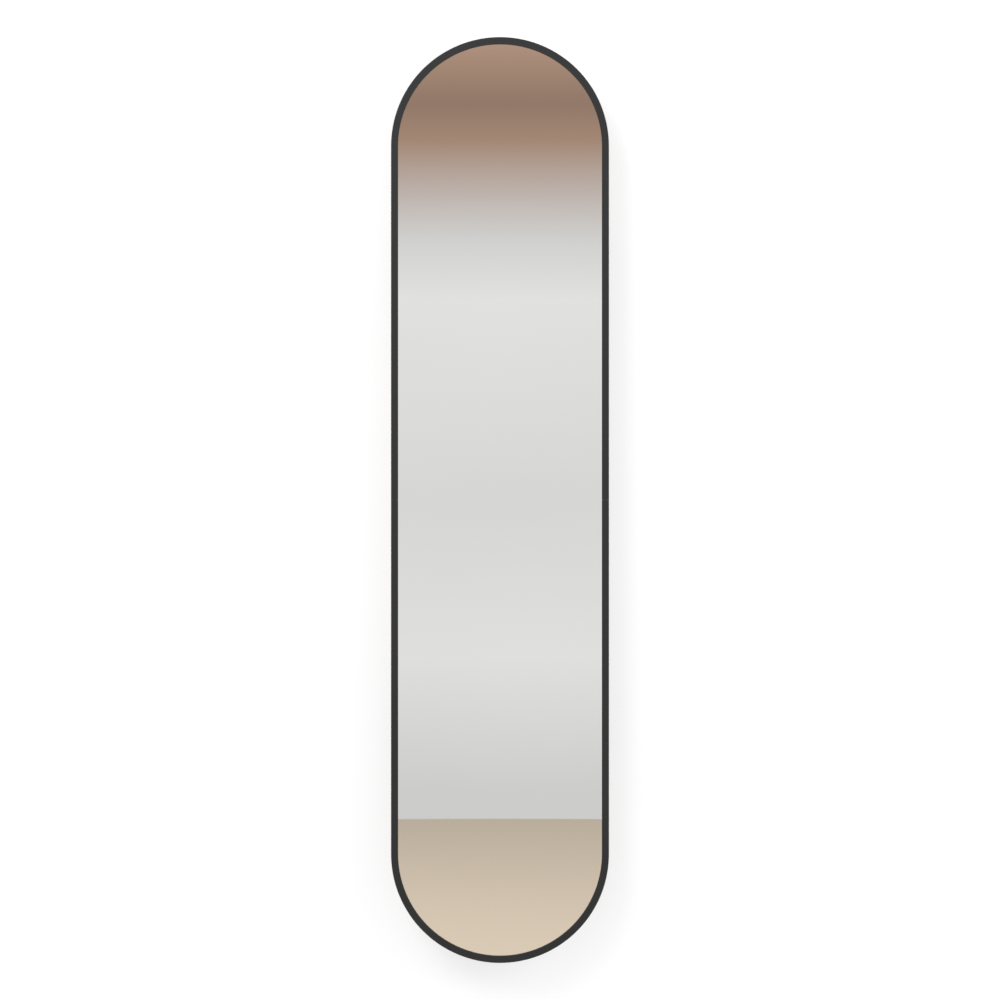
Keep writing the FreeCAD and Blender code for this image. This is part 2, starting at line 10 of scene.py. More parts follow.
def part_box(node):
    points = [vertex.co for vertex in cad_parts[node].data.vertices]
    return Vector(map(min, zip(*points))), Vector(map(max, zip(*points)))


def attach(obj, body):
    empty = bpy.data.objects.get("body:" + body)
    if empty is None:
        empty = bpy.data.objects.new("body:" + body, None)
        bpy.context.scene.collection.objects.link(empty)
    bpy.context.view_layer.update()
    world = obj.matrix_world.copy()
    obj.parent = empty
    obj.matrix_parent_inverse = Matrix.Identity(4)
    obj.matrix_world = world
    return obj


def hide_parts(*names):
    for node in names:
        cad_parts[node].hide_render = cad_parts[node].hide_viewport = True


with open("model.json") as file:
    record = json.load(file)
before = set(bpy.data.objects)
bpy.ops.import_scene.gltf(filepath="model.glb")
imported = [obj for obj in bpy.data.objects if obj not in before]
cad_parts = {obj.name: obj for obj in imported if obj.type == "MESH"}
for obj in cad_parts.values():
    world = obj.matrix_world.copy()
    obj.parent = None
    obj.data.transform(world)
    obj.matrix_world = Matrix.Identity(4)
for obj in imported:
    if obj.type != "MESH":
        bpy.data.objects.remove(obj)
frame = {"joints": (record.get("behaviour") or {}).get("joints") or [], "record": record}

bl_info = {
    "name": "Pull-out Closet Mirror",
    "version": (1, 0, 0),
    "blender": (4, 5, 0),
    "location": "3D View > Sidebar > Closet Mirror",
    "description": "Dresses the packed frame of a pull-out closet mirror with its finished pieces",
    "category": "Object",
}

MM = 0.001
ALONG_X = Vector((1, 0, 0))
ALONG_Y = Vector((0, 1, 0))
ALONG_Z = Vector((0, 0, 1))

# ---------------------------------------------------------------- places read from the frame

RIM_LOW, RIM_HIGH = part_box("upper_frame_half")
KEY_LOW, KEY_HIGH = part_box("right_splice_key")
CROSSBAR_LOW, CROSSBAR_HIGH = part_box("upper_crossbar")
BUFFERS_LOW, BUFFERS_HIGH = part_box("parking_buffers")
PINS_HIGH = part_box("pivot_pins")[1]
BUSHES_LOW, BUSHES_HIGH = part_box("pivot_bushes")
BLOCK_LOW, BLOCK_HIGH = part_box("upper_pivot_block")
UPRIGHT_LOW, UPRIGHT_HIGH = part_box("upright")
CAP_LOW, CAP_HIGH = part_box("upper_upright_cap")
TIPS_LOW, TIPS_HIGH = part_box("stop_tips")
OUTER_LOW, OUTER_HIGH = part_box("upper_outer_member")
MIDDLE_LOW, MIDDLE_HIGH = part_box("upper_middle_member")
INNER_LOW, INNER_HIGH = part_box("upper_inner_member")
BUMPER_LOW, BUMPER_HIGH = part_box("upper_rear_bumper")

ARCH_RADIUS = RIM_HIGH.x
ARCH_LEVEL = RIM_HIGH.z - ARCH_RADIUS
CROSSBAR_LEVEL = (CROSSBAR_LOW.z + CROSSBAR_HIGH.z) / 2
SLIDE_LEVEL = (OUTER_LOW.z + OUTER_HIGH.z) / 2
PIVOT = Vector(next(joint["pos_m"] for joint in frame["joints"] if joint["name"] == "swivel"))
BARREL_MIDDLE = Vector((PIVOT.x, PIVOT.y, CROSSBAR_LEVEL))
PANEL_HOLES = next(mount["dims"] for mount in frame["record"]["mounts"] if mount["name"] == "panel_screws")


# ---------------------------------------------------------------- what a user may change


def number(name, description, default, **kind):
    """Plain number, or one with a unit."""
    return FloatProperty(name=name, description=description, default=default, **kind)


def length(name, description, millimetres, lowest=0.0):
    """Size in metres, with its default given in millimetres."""
    return number(name, description, millimetres * MM, min=lowest, unit="LENGTH", precision=5)


def colour(name, description, *tone):
    """Linear colour."""
    limits = dict(min=0.0, max=1.0)
    return FloatVectorProperty(name=name, description=description, default=tone, subtype="COLOR", **limits)


class FrameSizes(PropertyGroup):
    """Sizes of the bent frame and of the panes in it."""

    wall: length("Wall", "Thickness of the frame's wall and lip", 1.6)
    rim: length("Rim", "Width of the frame from the front", 10.6)
    rib: length("Rib", "Width of the rear rib that holds the crossbars", 8.0)
    rib_depth: length("Rib depth", "Depth of that rib from the back", 10.3)
    outer_round: length("Outer edge", "Radius of the outer front edge", 0.35)
    inner_round: length("Inner edge", "Radius of the lip's front edge", 0.3)
    screw_pocket: length("Screw pocket", "Depth of the frame's screw holes", 9.5)
    arch_steps: IntProperty(name="Arch steps", description="Steps round a half-round end", default=72, min=8)
    glass_seam: length("Glass edge", "Seamed edge of the glass", 0.5)
    seal_width: length("Seal width", "Width of the foam ring", 6.0)
    key_clearance: length("Key clearance", "Clearance round the splice keys", 0.1)
    key_chamfer: length("Key chamfer", "Lead-in at the keys' ends", 0.9)
    key_tooth: length("Key tooth", "Height of the keys' teeth", 0.4)
    key_tooth_pitch: length("Key tooth pitch", "Distance between two teeth", 5.0)


class HardwareSizes(PropertyGroup):
    """Sizes of the sheet metal, the pivots and the fasteners."""

    crossbar_sheet: length("Crossbar sheet", "Thickness of the crossbars", 2.0)
    crossbar_bend: length("Crossbar bend", "Bend radius of their flanges", 2.0)
    crossbar_flange: length("Crossbar flange", "Height of the flanges over the web", 6.0)
    crossbar_corner: length("Crossbar corner", "Rounding of the flanges' ends", 2.5)
    crossbar_screw_pitch: length("Crossbar screws", "Distance between two screws of an end", 22.0)
    ear_radius: length("Ear radius", "Radius of the hinge ears", 8.0)
    ear_fillet: length("Ear fillet", "Fillet at the ears' root", 2.0)
    bead_height: length("Bead height", "Height of the bead along a crossbar", 1.4)
    bead_width: length("Bead width", "Width of the bead", 11.0)
    bead_inset: length("Bead inset", "Distance of the bead from the crossbar's end", 24.0)
    upright_sheet: length("Upright sheet", "Thickness of the upright", 1.5)
    upright_bend: length("Upright bend", "Bend radius of the upright", 2.0)
    upright_lip: length("Upright lip", "Width of its lips", 8.0)
    upright_width: length("Upright width", "Width across its web", 30.0)
    tab_height: length("Stop tab", "Height of the stop tabs", 9.0)
    tab_corner: length("Tab corner", "Rounding of the tabs", 1.5)
    tip_corner: length("Tip corner", "Rounding of the rubber tips", 0.9)
    cap_gap: length("Cap gap", "Gap between a cap's plug and the upright", 0.6)
    cap_wall: length("Cap wall", "Wall of that plug", 1.6)
    plate: length("Pivot plate", "Thickness of a pivot block's plate", 3.0)
    plate_corner: length("Plate corner", "Rounding of the plate", 4.0)
    plate_screw_inset: length("Plate screws", "Distance of the screws from the plate's ends", 8.0)
    barrel_radius: length("Barrel", "Outer radius of the pivot barrel", 6.55)
    barrel_length: length("Barrel length", "Length of the barrel", 35.6)
    barrel_round: length("Barrel edge", "Rounding of the barrel's ends", 0.8)
    bore_radius: length("Barrel bore", "Bore radius of the barrel", 4.05)
    pin_radius: length("Pivot bolt", "Shank radius of the bolts", 3.0)
    pin_hole: length("Pivot bolt hole", "Radius of the holes for them", 3.05)
    bolt_head: length("Bolt head", "Height of their heads", 4.0)
    bolt_tail: length("Bolt tail", "Length of a bolt past its nut", 1.5)
    nut_height: length("Nut height", "Height of the nuts", 5.0)
    wrench: length("Wrench size", "Width across the flats of bolts and nuts", 10.0)
    screw_radius: length("Screw", "Shank radius of the screws", 2.0)
    screw_hole: length("Screw hole", "Radius of the holes for them", 2.1)
    screw_bite: length("Screw bite", "Length of a screw past what it clamps", 5.0)
    screw_head: length("Screw head", "Radius of the pan heads", 3.5)
    screw_head_height: length("Screw head height", "Height of the pan heads", 2.2)
    slide_screw_pitch: length("Slide screws", "Distance between the screws of a slide", 14.0)


class SlideSizes(PropertyGroup):
    """Sizes of the ball-bearing slides."""

    sheet: length("Sheet", "Thickness of the rolled members", 1.2)
    bend: length("Bend", "Bend radius of their corners", 1.5)
    roll: length("Roll", "Radius of the inner member's roll", 1.8)
    roll_angle: number("Roll angle", "Place of that roll, in degrees", 305.0)
    outer_curl: number("Outer curl", "Turn of the outer member's lips, in degrees", 52.0)
    middle_curl: number("Middle curl", "Turn of the middle member's lips, in degrees", 89.0)
    inner_curl: number("Inner curl", "Turn of the inner member's lips, in degrees", 50.0)
    ball: length("Ball", "Radius of the balls", 2.0)
    ball_clearance: length("Ball clearance", "Clearance between ball and race", 0.1)
    ball_pitch: length("Ball pitch", "Distance between two balls", 26.0)
    balls_per_row: IntProperty(name="Balls per row", description="Balls in a row", default=5, min=1)
    race_angle: number("Race angle", "Tilt of the line between two balls", math.radians(61), unit="ROTATION")
    cage_sheet: length("Cage sheet", "Thickness of the ball cages", 0.6)
    cage_gap: length("Cage gap", "Gap between a cage and the members", 0.25)
    cage_bend: length("Cage bend", "Bend radius of the cages", 1.2)
    cage_slot_width: length("Cage slot", "Width of a cage's slot", 14.0)
    cage_slot_inset: length("Cage slot inset", "Distance of the slot from the cage's ends", 20.0)
    cage_slot_corner: length("Cage slot corner", "Rounding of the slot", 3.0)
    stop_inset: length("Stop inset", "Distance of the front stops from the member's end", 1.5)
    stop_height: length("Stop height", "Height of the pressed stops", 12.0)
    stop_round: length("Stop edge", "Rounding of the pressed stops", 0.3)
    access_hole: length("Access hole", "Radius of the hole for a panel screw", 4.8)
    access_place: length("Access place", "Place of that hole along the slide", -38.0, lowest=-1.0)
    bumper_round: length("Bumper edge", "Rounding of the rear bumper", 1.8)
    bumper_pitch: length("Bumper grooves", "Distance between two of its grooves", 8.5)


class Finishes(PropertyGroup):
    """Colours of the finishes."""

    charcoal: colour("Charcoal", "Powder coat of the frame", 0.0170, 0.0178, 0.0196)
    graphite: colour("Graphite", "Powder coat of crossbars, upright and blocks", 0.019, 0.0195, 0.021)
    zinc: colour("Zinc", "Plating of the slides and screws", 0.52, 0.54, 0.58)
    cage: colour("Cage strip", "Strip steel of the ball cages", 0.44, 0.42, 0.37)
    ball: colour("Ball", "Polished bearing steel", 0.80, 0.80, 0.82)
    silver: colour("Silvering", "Reflection of the silvered glass", 0.94, 0.94, 0.94)
    board: colour("Board", "Fibre board behind the glass", 0.250, 0.155, 0.085)
    film: colour("Film", "Safety film on the glass", 0.60, 0.62, 0.64)
    rubber: colour("Rubber", "Buffers, tips and bumpers", 0.022, 0.022, 0.023)
    plastic: colour("Plastic", "Moulded end caps", 0.030, 0.030, 0.032)
    acetal: colour("Acetal", "Pivot bushes", 0.82, 0.81, 0.77)
    aluminium: colour("Aluminium", "Mill-finished splice keys", 0.74, 0.74, 0.75)


class StageSettings(PropertyGroup):
    """Studio round the object."""

    lens: number("Lens", "Focal length of the camera in millimetres", 100.0)
    sensor: number("Sensor", "Width of the camera's sensor in millimetres", 36.0)
    view_height: number("View height", "Height of the picture at the glass", 1.514, unit="LENGTH")
    floor_level: number("Floor level", "Height of the floor", -1.05, unit="LENGTH")
    floor: colour("Floor", "Pale warm floor", 0.50, 0.415, 0.31)
    backdrop: colour("Backdrop", "White panel behind the object", 0.36, 0.36, 0.36)
    glow: number("Backdrop glow", "Light of the backdrop's own", 0.62)
    wall: colour("Wall", "Pale wall of the studio as the glass shows it", 0.72, 0.72, 0.71)
    ceiling: colour("Ceiling", "Warm top of the studio as the glass shows it", 0.36, 0.24, 0.175)
    key_power: number("Key light", "Power of the key light in watts", 95.0)
    fill_power: number("Fill light", "Power of the fill light in watts", 40.0)


# ---------------------------------------------------------------- modelling by hand, in code

MERGE = 0.002 * MM
SAME_PLACE = 0.01 * MM
TURN_STEP = 7.5
BREAK_ANGLE = math.radians(40)
SMOOTH_ANGLE = math.radians(50)
NORMAL_WEIGHT = 60
ALIGNED = 0.9
NEARLY_HALF = 0.98
CLEAR = MM


def deselect():
    """Leaves edit mode and clears the selection, so that the next operator acts on its own piece only."""
    if bpy.context.object and bpy.context.object.mode != "OBJECT":
        bpy.ops.object.mode_set(mode="OBJECT")
    bpy.ops.object.select_all(action="DESELECT")


def pick(*pieces):
    """Selects pieces, the first of them active."""
    deselect()
    for piece in pieces:
        piece.select_set(True)
    bpy.context.view_layer.objects.active = pieces[0]


def edit(piece, mode="VERT"):
    """Opens a piece in edit mode with everything selected."""
    pick(piece)
    bpy.ops.object.mode_set(mode="EDIT")
    bpy.ops.mesh.select_mode(type=mode)
    bpy.ops.mesh.select_all(action="SELECT")


def select_where(piece, mode, elements, wanted):
    """Opens a piece in edit mode with only the vertices, edges or polygons selected that a test accepts."""
    edit(piece, mode)
    bpy.ops.mesh.select_all(action="DESELECT")
    bpy.ops.object.mode_set(mode="OBJECT")
    for element in getattr(piece.data, elements):
        element.select = wanted(element)
    bpy.ops.object.mode_set(mode="EDIT")


def round_edges(piece, wanted, radius, segments=6):
    """Rounds the edges that a test on their middle and direction accepts."""

    def accepted(edge):
        first, last = [piece.matrix_world @ piece.data.vertices[index].co for index in edge.vertices]
        return wanted((first + last) / 2, (last - first).normalized())

    select_where(piece, "EDGE", "edges", accepted)
    bpy.ops.mesh.bevel(offset=radius, segments=segments, affect="EDGES")
    deselect()
    return piece


def near(value, *places):
    """Whether a value is one of some places."""
    return any(abs(value - place) < SAME_PLACE for place in places)


def runs(way, axis):
    """Whether a direction runs along an axis."""
    return abs(way.dot(axis)) > ALIGNED


def edges_along(axis):
    """Test for edges that run along an axis."""
    return lambda place, way: runs(way, axis)


class Pen:
    """Line of edges drawn by hand: a primitive is merged to one vertex, then extruded and spun."""

    def __init__(self, start):
        deselect()
        bpy.ops.mesh.primitive_plane_add(size=MM, location=start)
        self.piece = bpy.context.object
        edit(self.piece)
        bpy.ops.mesh.merge(type="CENTER")
        self.here = Vector(start)

    def push(self, step):
        """Everything that is selected, extruded by a step."""
        bpy.ops.mesh.extrude_region_move(TRANSFORM_OT_translate={"value": Vector(step)})
        return self

    def to(self, point):
        """Straight run to a point."""
        self.push(Vector(point) - self.here)
        self.here = Vector(point)
        return self

    def about(self, centre, axis, degrees, steps=0):
        """Arc about an axis, by the right-hand rule."""
        steps = steps or max(2, math.ceil(abs(degrees) / TURN_STEP))
        bpy.ops.mesh.spin(steps=steps, angle=-math.radians(degrees), center=centre, axis=axis)
        turn = Matrix.Rotation(math.radians(degrees), 3, Vector(axis))
        self.here = Vector(centre) + turn @ (self.here - Vector(centre))
        return self

    def round(self, corner, after, radius):
        """Rounded corner on the way to the point after it."""
        corner = Vector(corner)
        way_in = (corner - self.here).normalized()
        way_out = (Vector(after) - corner).normalized()
        axis = way_in.cross(way_out).normalized()
        angle = way_in.angle(way_out)
        self.to(corner - way_in * (radius * math.tan(angle / 2)))
        return self.about(self.here + axis.cross(way_in) * radius, axis, math.degrees(angle))

    def through(self, corners, radius):
        """Runs through rounded corners to the last point."""
        for corner, after in zip(corners, corners[1:]):
            self.round(corner, after, radius)
        return self.to(corners[-1])

    def close(self):
        """Joins the line's two ends."""
        bpy.ops.mesh.select_all(action="SELECT")
        bpy.ops.mesh.remove_doubles(threshold=MERGE / 2)
        return self

    def prism(self, step):
        """Closed line as a flat face, pulled to a solid."""
        self.close()
        bpy.ops.mesh.edge_face_add()
        return self.push(step).whole()

    def whole(self):
        """Piece with its normals outwards, out of edit mode."""
        face_outwards(self.piece)
        return self.piece


def face_outwards(piece):
    """Turns all faces of a piece outwards."""
    edit(piece)
    bpy.ops.mesh.normals_make_consistent(inside=False)
    deselect()


def modifier(piece, kind, **settings):
    """Adds a modifier, sets it and applies it."""
    pick(piece)
    added = piece.modifiers.new(kind.title(), kind)
    for name, value in settings.items():
        setattr(added, name, value)
    bpy.ops.object.modifier_apply(modifier=added.name)


def sheet_metal(pen, step, thickness, mirrored_below=False):
    """Sheet of a drawn line: pulled by a step, mirrored below its first point if asked, and thickened."""
    bpy.ops.mesh.select_all(action="SELECT")
    piece = pen.push(step).whole()
    if mirrored_below:
        modifier(piece, "MIRROR", use_axis=(False, False, True), merge_threshold=SAME_PLACE)
        face_outwards(piece)
    modifier(piece, "SOLIDIFY", thickness=thickness, offset=0, use_even_offset=True)
    return piece


def joined(*pieces):
    """Several shapes as one piece."""
    pick(*pieces)
    if len(pieces) > 1:
        bpy.ops.object.join()
    return pieces[0]


def combine(piece, others, operation):
    """Boolean of a piece with others, which are used up."""
    tool = joined(*others)
    welded = operation == "UNION"
    modifier(piece, "BOOLEAN", operation=operation, object=tool, solver="EXACT", use_self=welded)
    bpy.data.objects.remove(tool)
    return piece


def cut(piece, *tools):
    """Takes tools away from a piece."""
    return combine(piece, tools, "DIFFERENCE")


def weld(piece, *others):
    """Makes a piece and others one closed shape."""
    for other in others:
        combine(piece, (other,), "UNION")
    return piece


def block(low, high):
    """Box between two corners, from a cube."""
    low, high = Vector(low), Vector(high)
    deselect()
    bpy.ops.mesh.primitive_cube_add(size=1, location=(low + high) / 2, scale=high - low)
    bpy.ops.object.transform_apply(location=False, rotation=False, scale=True)
    return bpy.context.object


def rod(radius, start, end, sides=48):
    """Round bar between two points."""
    start, end = Vector(start), Vector(end)
    way = end - start
    tilt = way.to_track_quat("Z", "Y").to_euler()
    deselect()
    bpy.ops.mesh.primitive_cylinder_add(
        vertices=sides, radius=radius, depth=way.length, location=(start + end) / 2, rotation=tilt
    )
    bpy.ops.object.transform_apply(location=False, rotation=True, scale=False)
    return bpy.context.object


def holes(radius, seats, start, end, sides=32):
    """Round cutting tools at seats, each from one step off its seat to another."""
    return [rod(radius, seat + start, seat + end, sides) for seat in seats]


def turned(profile, steps=48):
    """Solid of revolution about Z of a profile of (radius, height) points that ends on the axis."""
    pen = Pen((profile[0][0], 0, profile[0][1]))
    for radius, height in profile[1:]:
        pen.to((radius, 0, height))
    bpy.ops.mesh.select_all(action="SELECT")
    bpy.ops.mesh.spin(steps=steps, angle=math.tau, center=(0, 0, 0), axis=ALONG_Z)
    bpy.ops.mesh.select_all(action="SELECT")
    bpy.ops.mesh.remove_doubles(threshold=MERGE)
    return pen.whole()


def quarter_turn(steps):
    """Angles of a quarter turn in equal steps."""
    return [math.radians(90 * step / steps) for step in range(steps + 1)]


def copy_of(piece, matrix):
    """Copy of a piece with its own mesh, moved by a matrix."""
    pick(piece)
    bpy.ops.object.duplicate()
    made = bpy.context.object
    made.matrix_world = matrix @ made.matrix_world
    bpy.ops.object.transform_apply(location=True, rotation=True, scale=True)
    return made


def moved(piece, matrix):
    """Piece moved by a matrix, with its place in its mesh."""
    made = copy_of(piece, matrix)
    bpy.data.objects.remove(piece)
    return made


def mirrored(piece, axis=ALONG_Z):
    """Mirror image of a piece, by default that of an upper piece for the lower half."""
    made = copy_of(piece, Matrix.Scale(-1, 4, axis))
    face_outwards(made)
    return made


def aim(seat, way):
    """Matrix that puts a shape that points up +Z at a seat, pointing another way."""
    return Matrix.Translation(seat) @ Vector(way).to_track_quat("Z", "Y").to_matrix().to_4x4()


def dress(piece, name, body, finish, replaced, edge=0.2, segments=2):
    """Breaks a piece's edges by some millimetres, smooths it, and gives it its name, finish and body."""
    pick(piece)
    bpy.ops.object.transform_apply(location=True, rotation=True, scale=True)
    edit(piece)
    bpy.ops.mesh.remove_doubles(threshold=MERGE)
    bpy.ops.mesh.dissolve_degenerate(threshold=MERGE)
    deselect()
    if edge:
        settings = dict(width=edge * MM, segments=segments, limit_method="ANGLE", angle_limit=BREAK_ANGLE)
        modifier(piece, "BEVEL", **settings)
    pick(piece)
    bpy.ops.object.shade_smooth_by_angle(angle=SMOOTH_ANGLE)
    modifier(piece, "WEIGHTED_NORMAL", keep_sharp=True, weight=NORMAL_WEIGHT)
    piece.name = name
    piece.data.name = name
    piece.data.materials.clear()
    piece.data.materials.append(finish_named(finish))
    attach(piece, body)
    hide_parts(replaced)


def dress_each(piece, name, body, finish, replaced, **settings):
    """Dresses an upper piece and its lower mirror image as two pieces."""
    shapes = {"upper_": piece, "lower_": mirrored(piece)}
    for level, shape in shapes.items():
        dress(shape, level + name, body.format(level=level), finish, level + replaced, **settings)


def dress_pair(piece, *naming, **settings):
    """Dresses an upper piece and its lower mirror image as one piece."""
    dress(joined(piece, mirrored(piece)), *naming, **settings)


# ---------------------------------------------------------------- finishes


def feed(tree, socket, value):
    """Gives a socket a value, or links it to another node's output."""
    if isinstance(value, bpy.types.NodeSocket):
        tree.links.new(value, socket)
    else:
        socket.default_value = value


def node(tree, kind, inputs=(), **settings):
    """New node with its settings; inputs is a list of (socket, value or output)."""
    made = tree.nodes.new(kind)
    for name, value in settings.items():
        setattr(made, name, value)
    for socket, value in inputs:
        feed(tree, made.inputs[socket], value)
    return made


def blended(tree, factor, first, second):
    """Mix of two colours or outputs."""
    return node(tree, "ShaderNodeMix", [(0, factor), (6, first), (7, second)], data_type="RGBA").outputs[2]


def spread(tree, value, low=0.0, high=1.0, start=0.0, end=1.0):
    """Value from start..end spread over low..high."""
    inputs = [("Value", value), ("From Min", start), ("From Max", end), ("To Min", low), ("To Max", high)]
    return node(tree, "ShaderNodeMapRange", inputs).outputs["Result"]


def noise(tree, place, scale, detail=2.0):
    """Cloudy noise."""
    inputs = [("Vector", place), ("Scale", scale), ("Detail", detail)]
    return node(tree, "ShaderNodeTexNoise", inputs).outputs["Fac"]


def dots(tree, place, scale, randomness=1.0):
    """Distance to the nearest of scattered dots."""
    inputs = [("Vector", place), ("Scale", scale), ("Randomness", randomness)]
    return node(tree, "ShaderNodeTexVoronoi", inputs).outputs["Distance"]


def calculated(tree, operation, first, second):
    """Sum or product of two values."""
    return node(tree, "ShaderNodeMath", [(0, first), (1, second)], operation=operation).outputs[0]


def toned(tone, share=1.0):
    """Colour whose channels are multiplied by a share, with the fourth channel that a socket takes."""
    return tuple(channel * share for channel in tone) + (1.0,)


def coating_grain(tree, given):
    """Fine grain of a coating, and the slow drift of its tone."""
    drift = noise(tree, given["Vector"], given["Drift Scale"], 4.0)
    return noise(tree, given["Vector"], given["Scale"], 3.0), spread(tree, drift, start=0.35, end=0.65)


def brushed_lines(tree, given):
    """Long fine lines of rolled or drawn metal."""
    inputs = [(0, given["Vector"]), (1, given["Stretch"])]
    stretched = node(tree, "ShaderNodeVectorMath", inputs, operation="MULTIPLY").outputs[0]
    return (spread(tree, noise(tree, stretched, 1.0, 5.0), start=0.32, end=0.68),)


def edge_wear(tree, given):
    """Mask of rubbed edges, broken up by noise."""
    flat = node(tree, "ShaderNodeNewGeometry").outputs["Normal"]
    rounded = node(tree, "ShaderNodeBevel", [("Radius", given["Reach"])], samples=4).outputs["Normal"]
    bend = node(tree, "ShaderNodeVectorMath", [(0, flat), (1, rounded)], operation="DOT_PRODUCT")
    edges = spread(tree, bend.outputs["Value"], start=0.99, end=0.85)
    broken = spread(tree, noise(tree, given["Vector"], given["Scale"], 6.0), start=0.45, end=0.62)
    return (calculated(tree, "MULTIPLY", calculated(tree, "MULTIPLY", edges, broken), given["Amount"]),)


def dust(tree, given):
    """Mask of fine dust on faces that look up."""
    normal = node(tree, "ShaderNodeNewGeometry").outputs["Normal"]
    height = node(tree, "ShaderNodeSeparateXYZ", [(0, normal)]).outputs["Z"]
    upward = spread(tree, height, start=0.35, end=1.0)
    patchy = spread(tree, noise(tree, given["Vector"], given["Scale"], 8.0), low=0.3, start=0.35, end=0.7)
    return (calculated(tree, "MULTIPLY", calculated(tree, "MULTIPLY", upward, patchy), given["Amount"]),)


# Node groups that the finishes share: what builds them, inputs beside the vector, and outputs.
NODE_GROUPS = {
    "Coating grain": (coating_grain, {"Scale": 1500.0, "Drift Scale": 12.0}, ("Grain", "Drift")),
    "Brushed lines": (brushed_lines, {"Stretch": (20.0, 900.0, 900.0)}, ("Lines",)),
    "Edge wear": (edge_wear, {"Scale": 60.0, "Amount": 0.5, "Reach": 0.6 * MM}, ("Mask",)),
    "Dust": (dust, {"Scale": 90.0, "Amount": 0.2}, ("Mask",)),
}


def node_group(name):
    """One of those groups, built when it is first asked for."""
    if name in bpy.data.node_groups:
        return bpy.data.node_groups[name]
    make, inputs, outputs = NODE_GROUPS[name]
    tree = bpy.data.node_groups.new(name, "ShaderNodeTree")
    tree.interface.new_socket(name="Vector", in_out="INPUT", socket_type="NodeSocketVector")
    for label, value in inputs.items():
        kind = "NodeSocketFloat" if isinstance(value, float) else "NodeSocketVector"
        tree.interface.new_socket(name=label, in_out="INPUT", socket_type=kind).default_value = value
    for label in outputs:
        tree.interface.new_socket(name=label, in_out="OUTPUT", socket_type="NodeSocketFloat")
    results = make(tree, tree.nodes.new("NodeGroupInput").outputs)
    end = tree.nodes.new("NodeGroupOutput")
    for label, result in zip(outputs, results):
        tree.links.new(result, end.inputs[label])
    return tree


def placed(tree, name, place, **values):
    """Outputs of a group placed in a material; an input's name is given in small letters."""
    inputs = [(label.replace("_", " ").title(), value) for label, value in values.items()]
    return node(tree, "ShaderNodeGroup", [("Vector", place), *inputs], node_tree=node_group(name)).outputs


def surfaced(tree, shader, tone, roughness, height, depth):
    """Wires colour, roughness and a bump of some millimetres to a shader."""
    tree.links.new(tone, shader.inputs["Base Color"])
    tree.links.new(roughness, shader.inputs["Roughness"])
    bump = node(tree, "ShaderNodeBump", [("Height", height), ("Distance", depth * MM), ("Strength", 1.0)])
    tree.links.new(bump.outputs["Normal"], shader.inputs["Normal"])


def coated(tree, shader, place, tone, look):
    """Wires a coated, moulded or plated surface."""
    grain = placed(tree, "Coating grain", place, scale=look["grain"], drift_scale=look["drift"])
    shade = toned(tone, look["shade"])
    seen = blended(tree, grain["Drift"], toned(tone, look["light"]), shade)
    specks = spread(tree, grain["Grain"], start=0.52, end=0.72)
    seen = blended(tree, specks, seen, toned(tone, look["speckle"]))
    height = grain["Grain"]
    gloss = grain["Drift"]
    if "stretch" in look:
        lines = placed(tree, "Brushed lines", place, stretch=look["stretch"])["Lines"]
        seen = blended(tree, spread(tree, lines, 0.0, look["streak"]), seen, shade)
        height = lines
        gloss = lines
    if look["wear"]:
        worn = placed(tree, "Edge wear", place, amount=look["wear"])["Mask"]
        seen = blended(tree, worn, seen, toned(look["bare"]))
    dusty = placed(tree, "Dust", place, amount=look["dust"])["Mask"]
    seen = blended(tree, dusty, seen, toned(DUST_TONE))
    surfaced(tree, shader, seen, spread(tree, gloss, *look["roughness"]), height, look["depth"])
    shader.inputs["Metallic"].default_value = look["metallic"]
    shader.inputs["Specular IOR Level"].default_value = look["specular"]


def silvered(tree, shader, place, tone, look):
    """Wires the silvered glass: clean reflection with the faintest haze of float glass."""
    haze = placed(tree, "Coating grain", place, scale=look["grain"], drift_scale=look["drift"])["Drift"]
    tree.links.new(blended(tree, haze, toned(tone), toned(tone, look["shade"])), shader.inputs["Base Color"])
    tree.links.new(spread(tree, haze, *look["roughness"]), shader.inputs["Roughness"])
    shader.inputs["Metallic"].default_value = 1.0
    shader.inputs["Coat Weight"].default_value = look["coat"]
    shader.inputs["Coat Roughness"].default_value = 0.0


def fibrous(tree, shader, place, tone, look):
    """Wires fibre board: clouds of tone, pressed fibres, bark flecks and the screen's print on its back."""
    fibres = placed(tree, "Coating grain", place, scale=look["grain"], drift_scale=look["drift"])
    strands = placed(tree, "Brushed lines", place, stretch=look["stretch"])["Lines"]
    dark = toned(tone, look["shade"])
    seen = blended(tree, spread(tree, fibres["Drift"], high=look["clouds"]), toned(tone), dark)
    pressed = spread(tree, strands, high=look["strands"], start=0.35, end=0.8)
    seen = blended(tree, pressed, seen, toned(tone, look["light"]))
    seen = blended(tree, spread(tree, fibres["Grain"], high=look["pores"], start=0.50, end=0.70), seen, dark)
    flecks = spread(tree, dots(tree, place, look["fleck_scale"]), look["flecks"], 0.0, start=0.06, end=0.16)
    seen = blended(tree, flecks, seen, dark)
    height = calculated(tree, "ADD", fibres["Grain"], dots(tree, place, look["screen_scale"], 0.15))
    surfaced(tree, shader, seen, spread(tree, fibres["Grain"], *look["roughness"]), height, look["depth"])


DUST_TONE = (0.36, 0.34, 0.31)

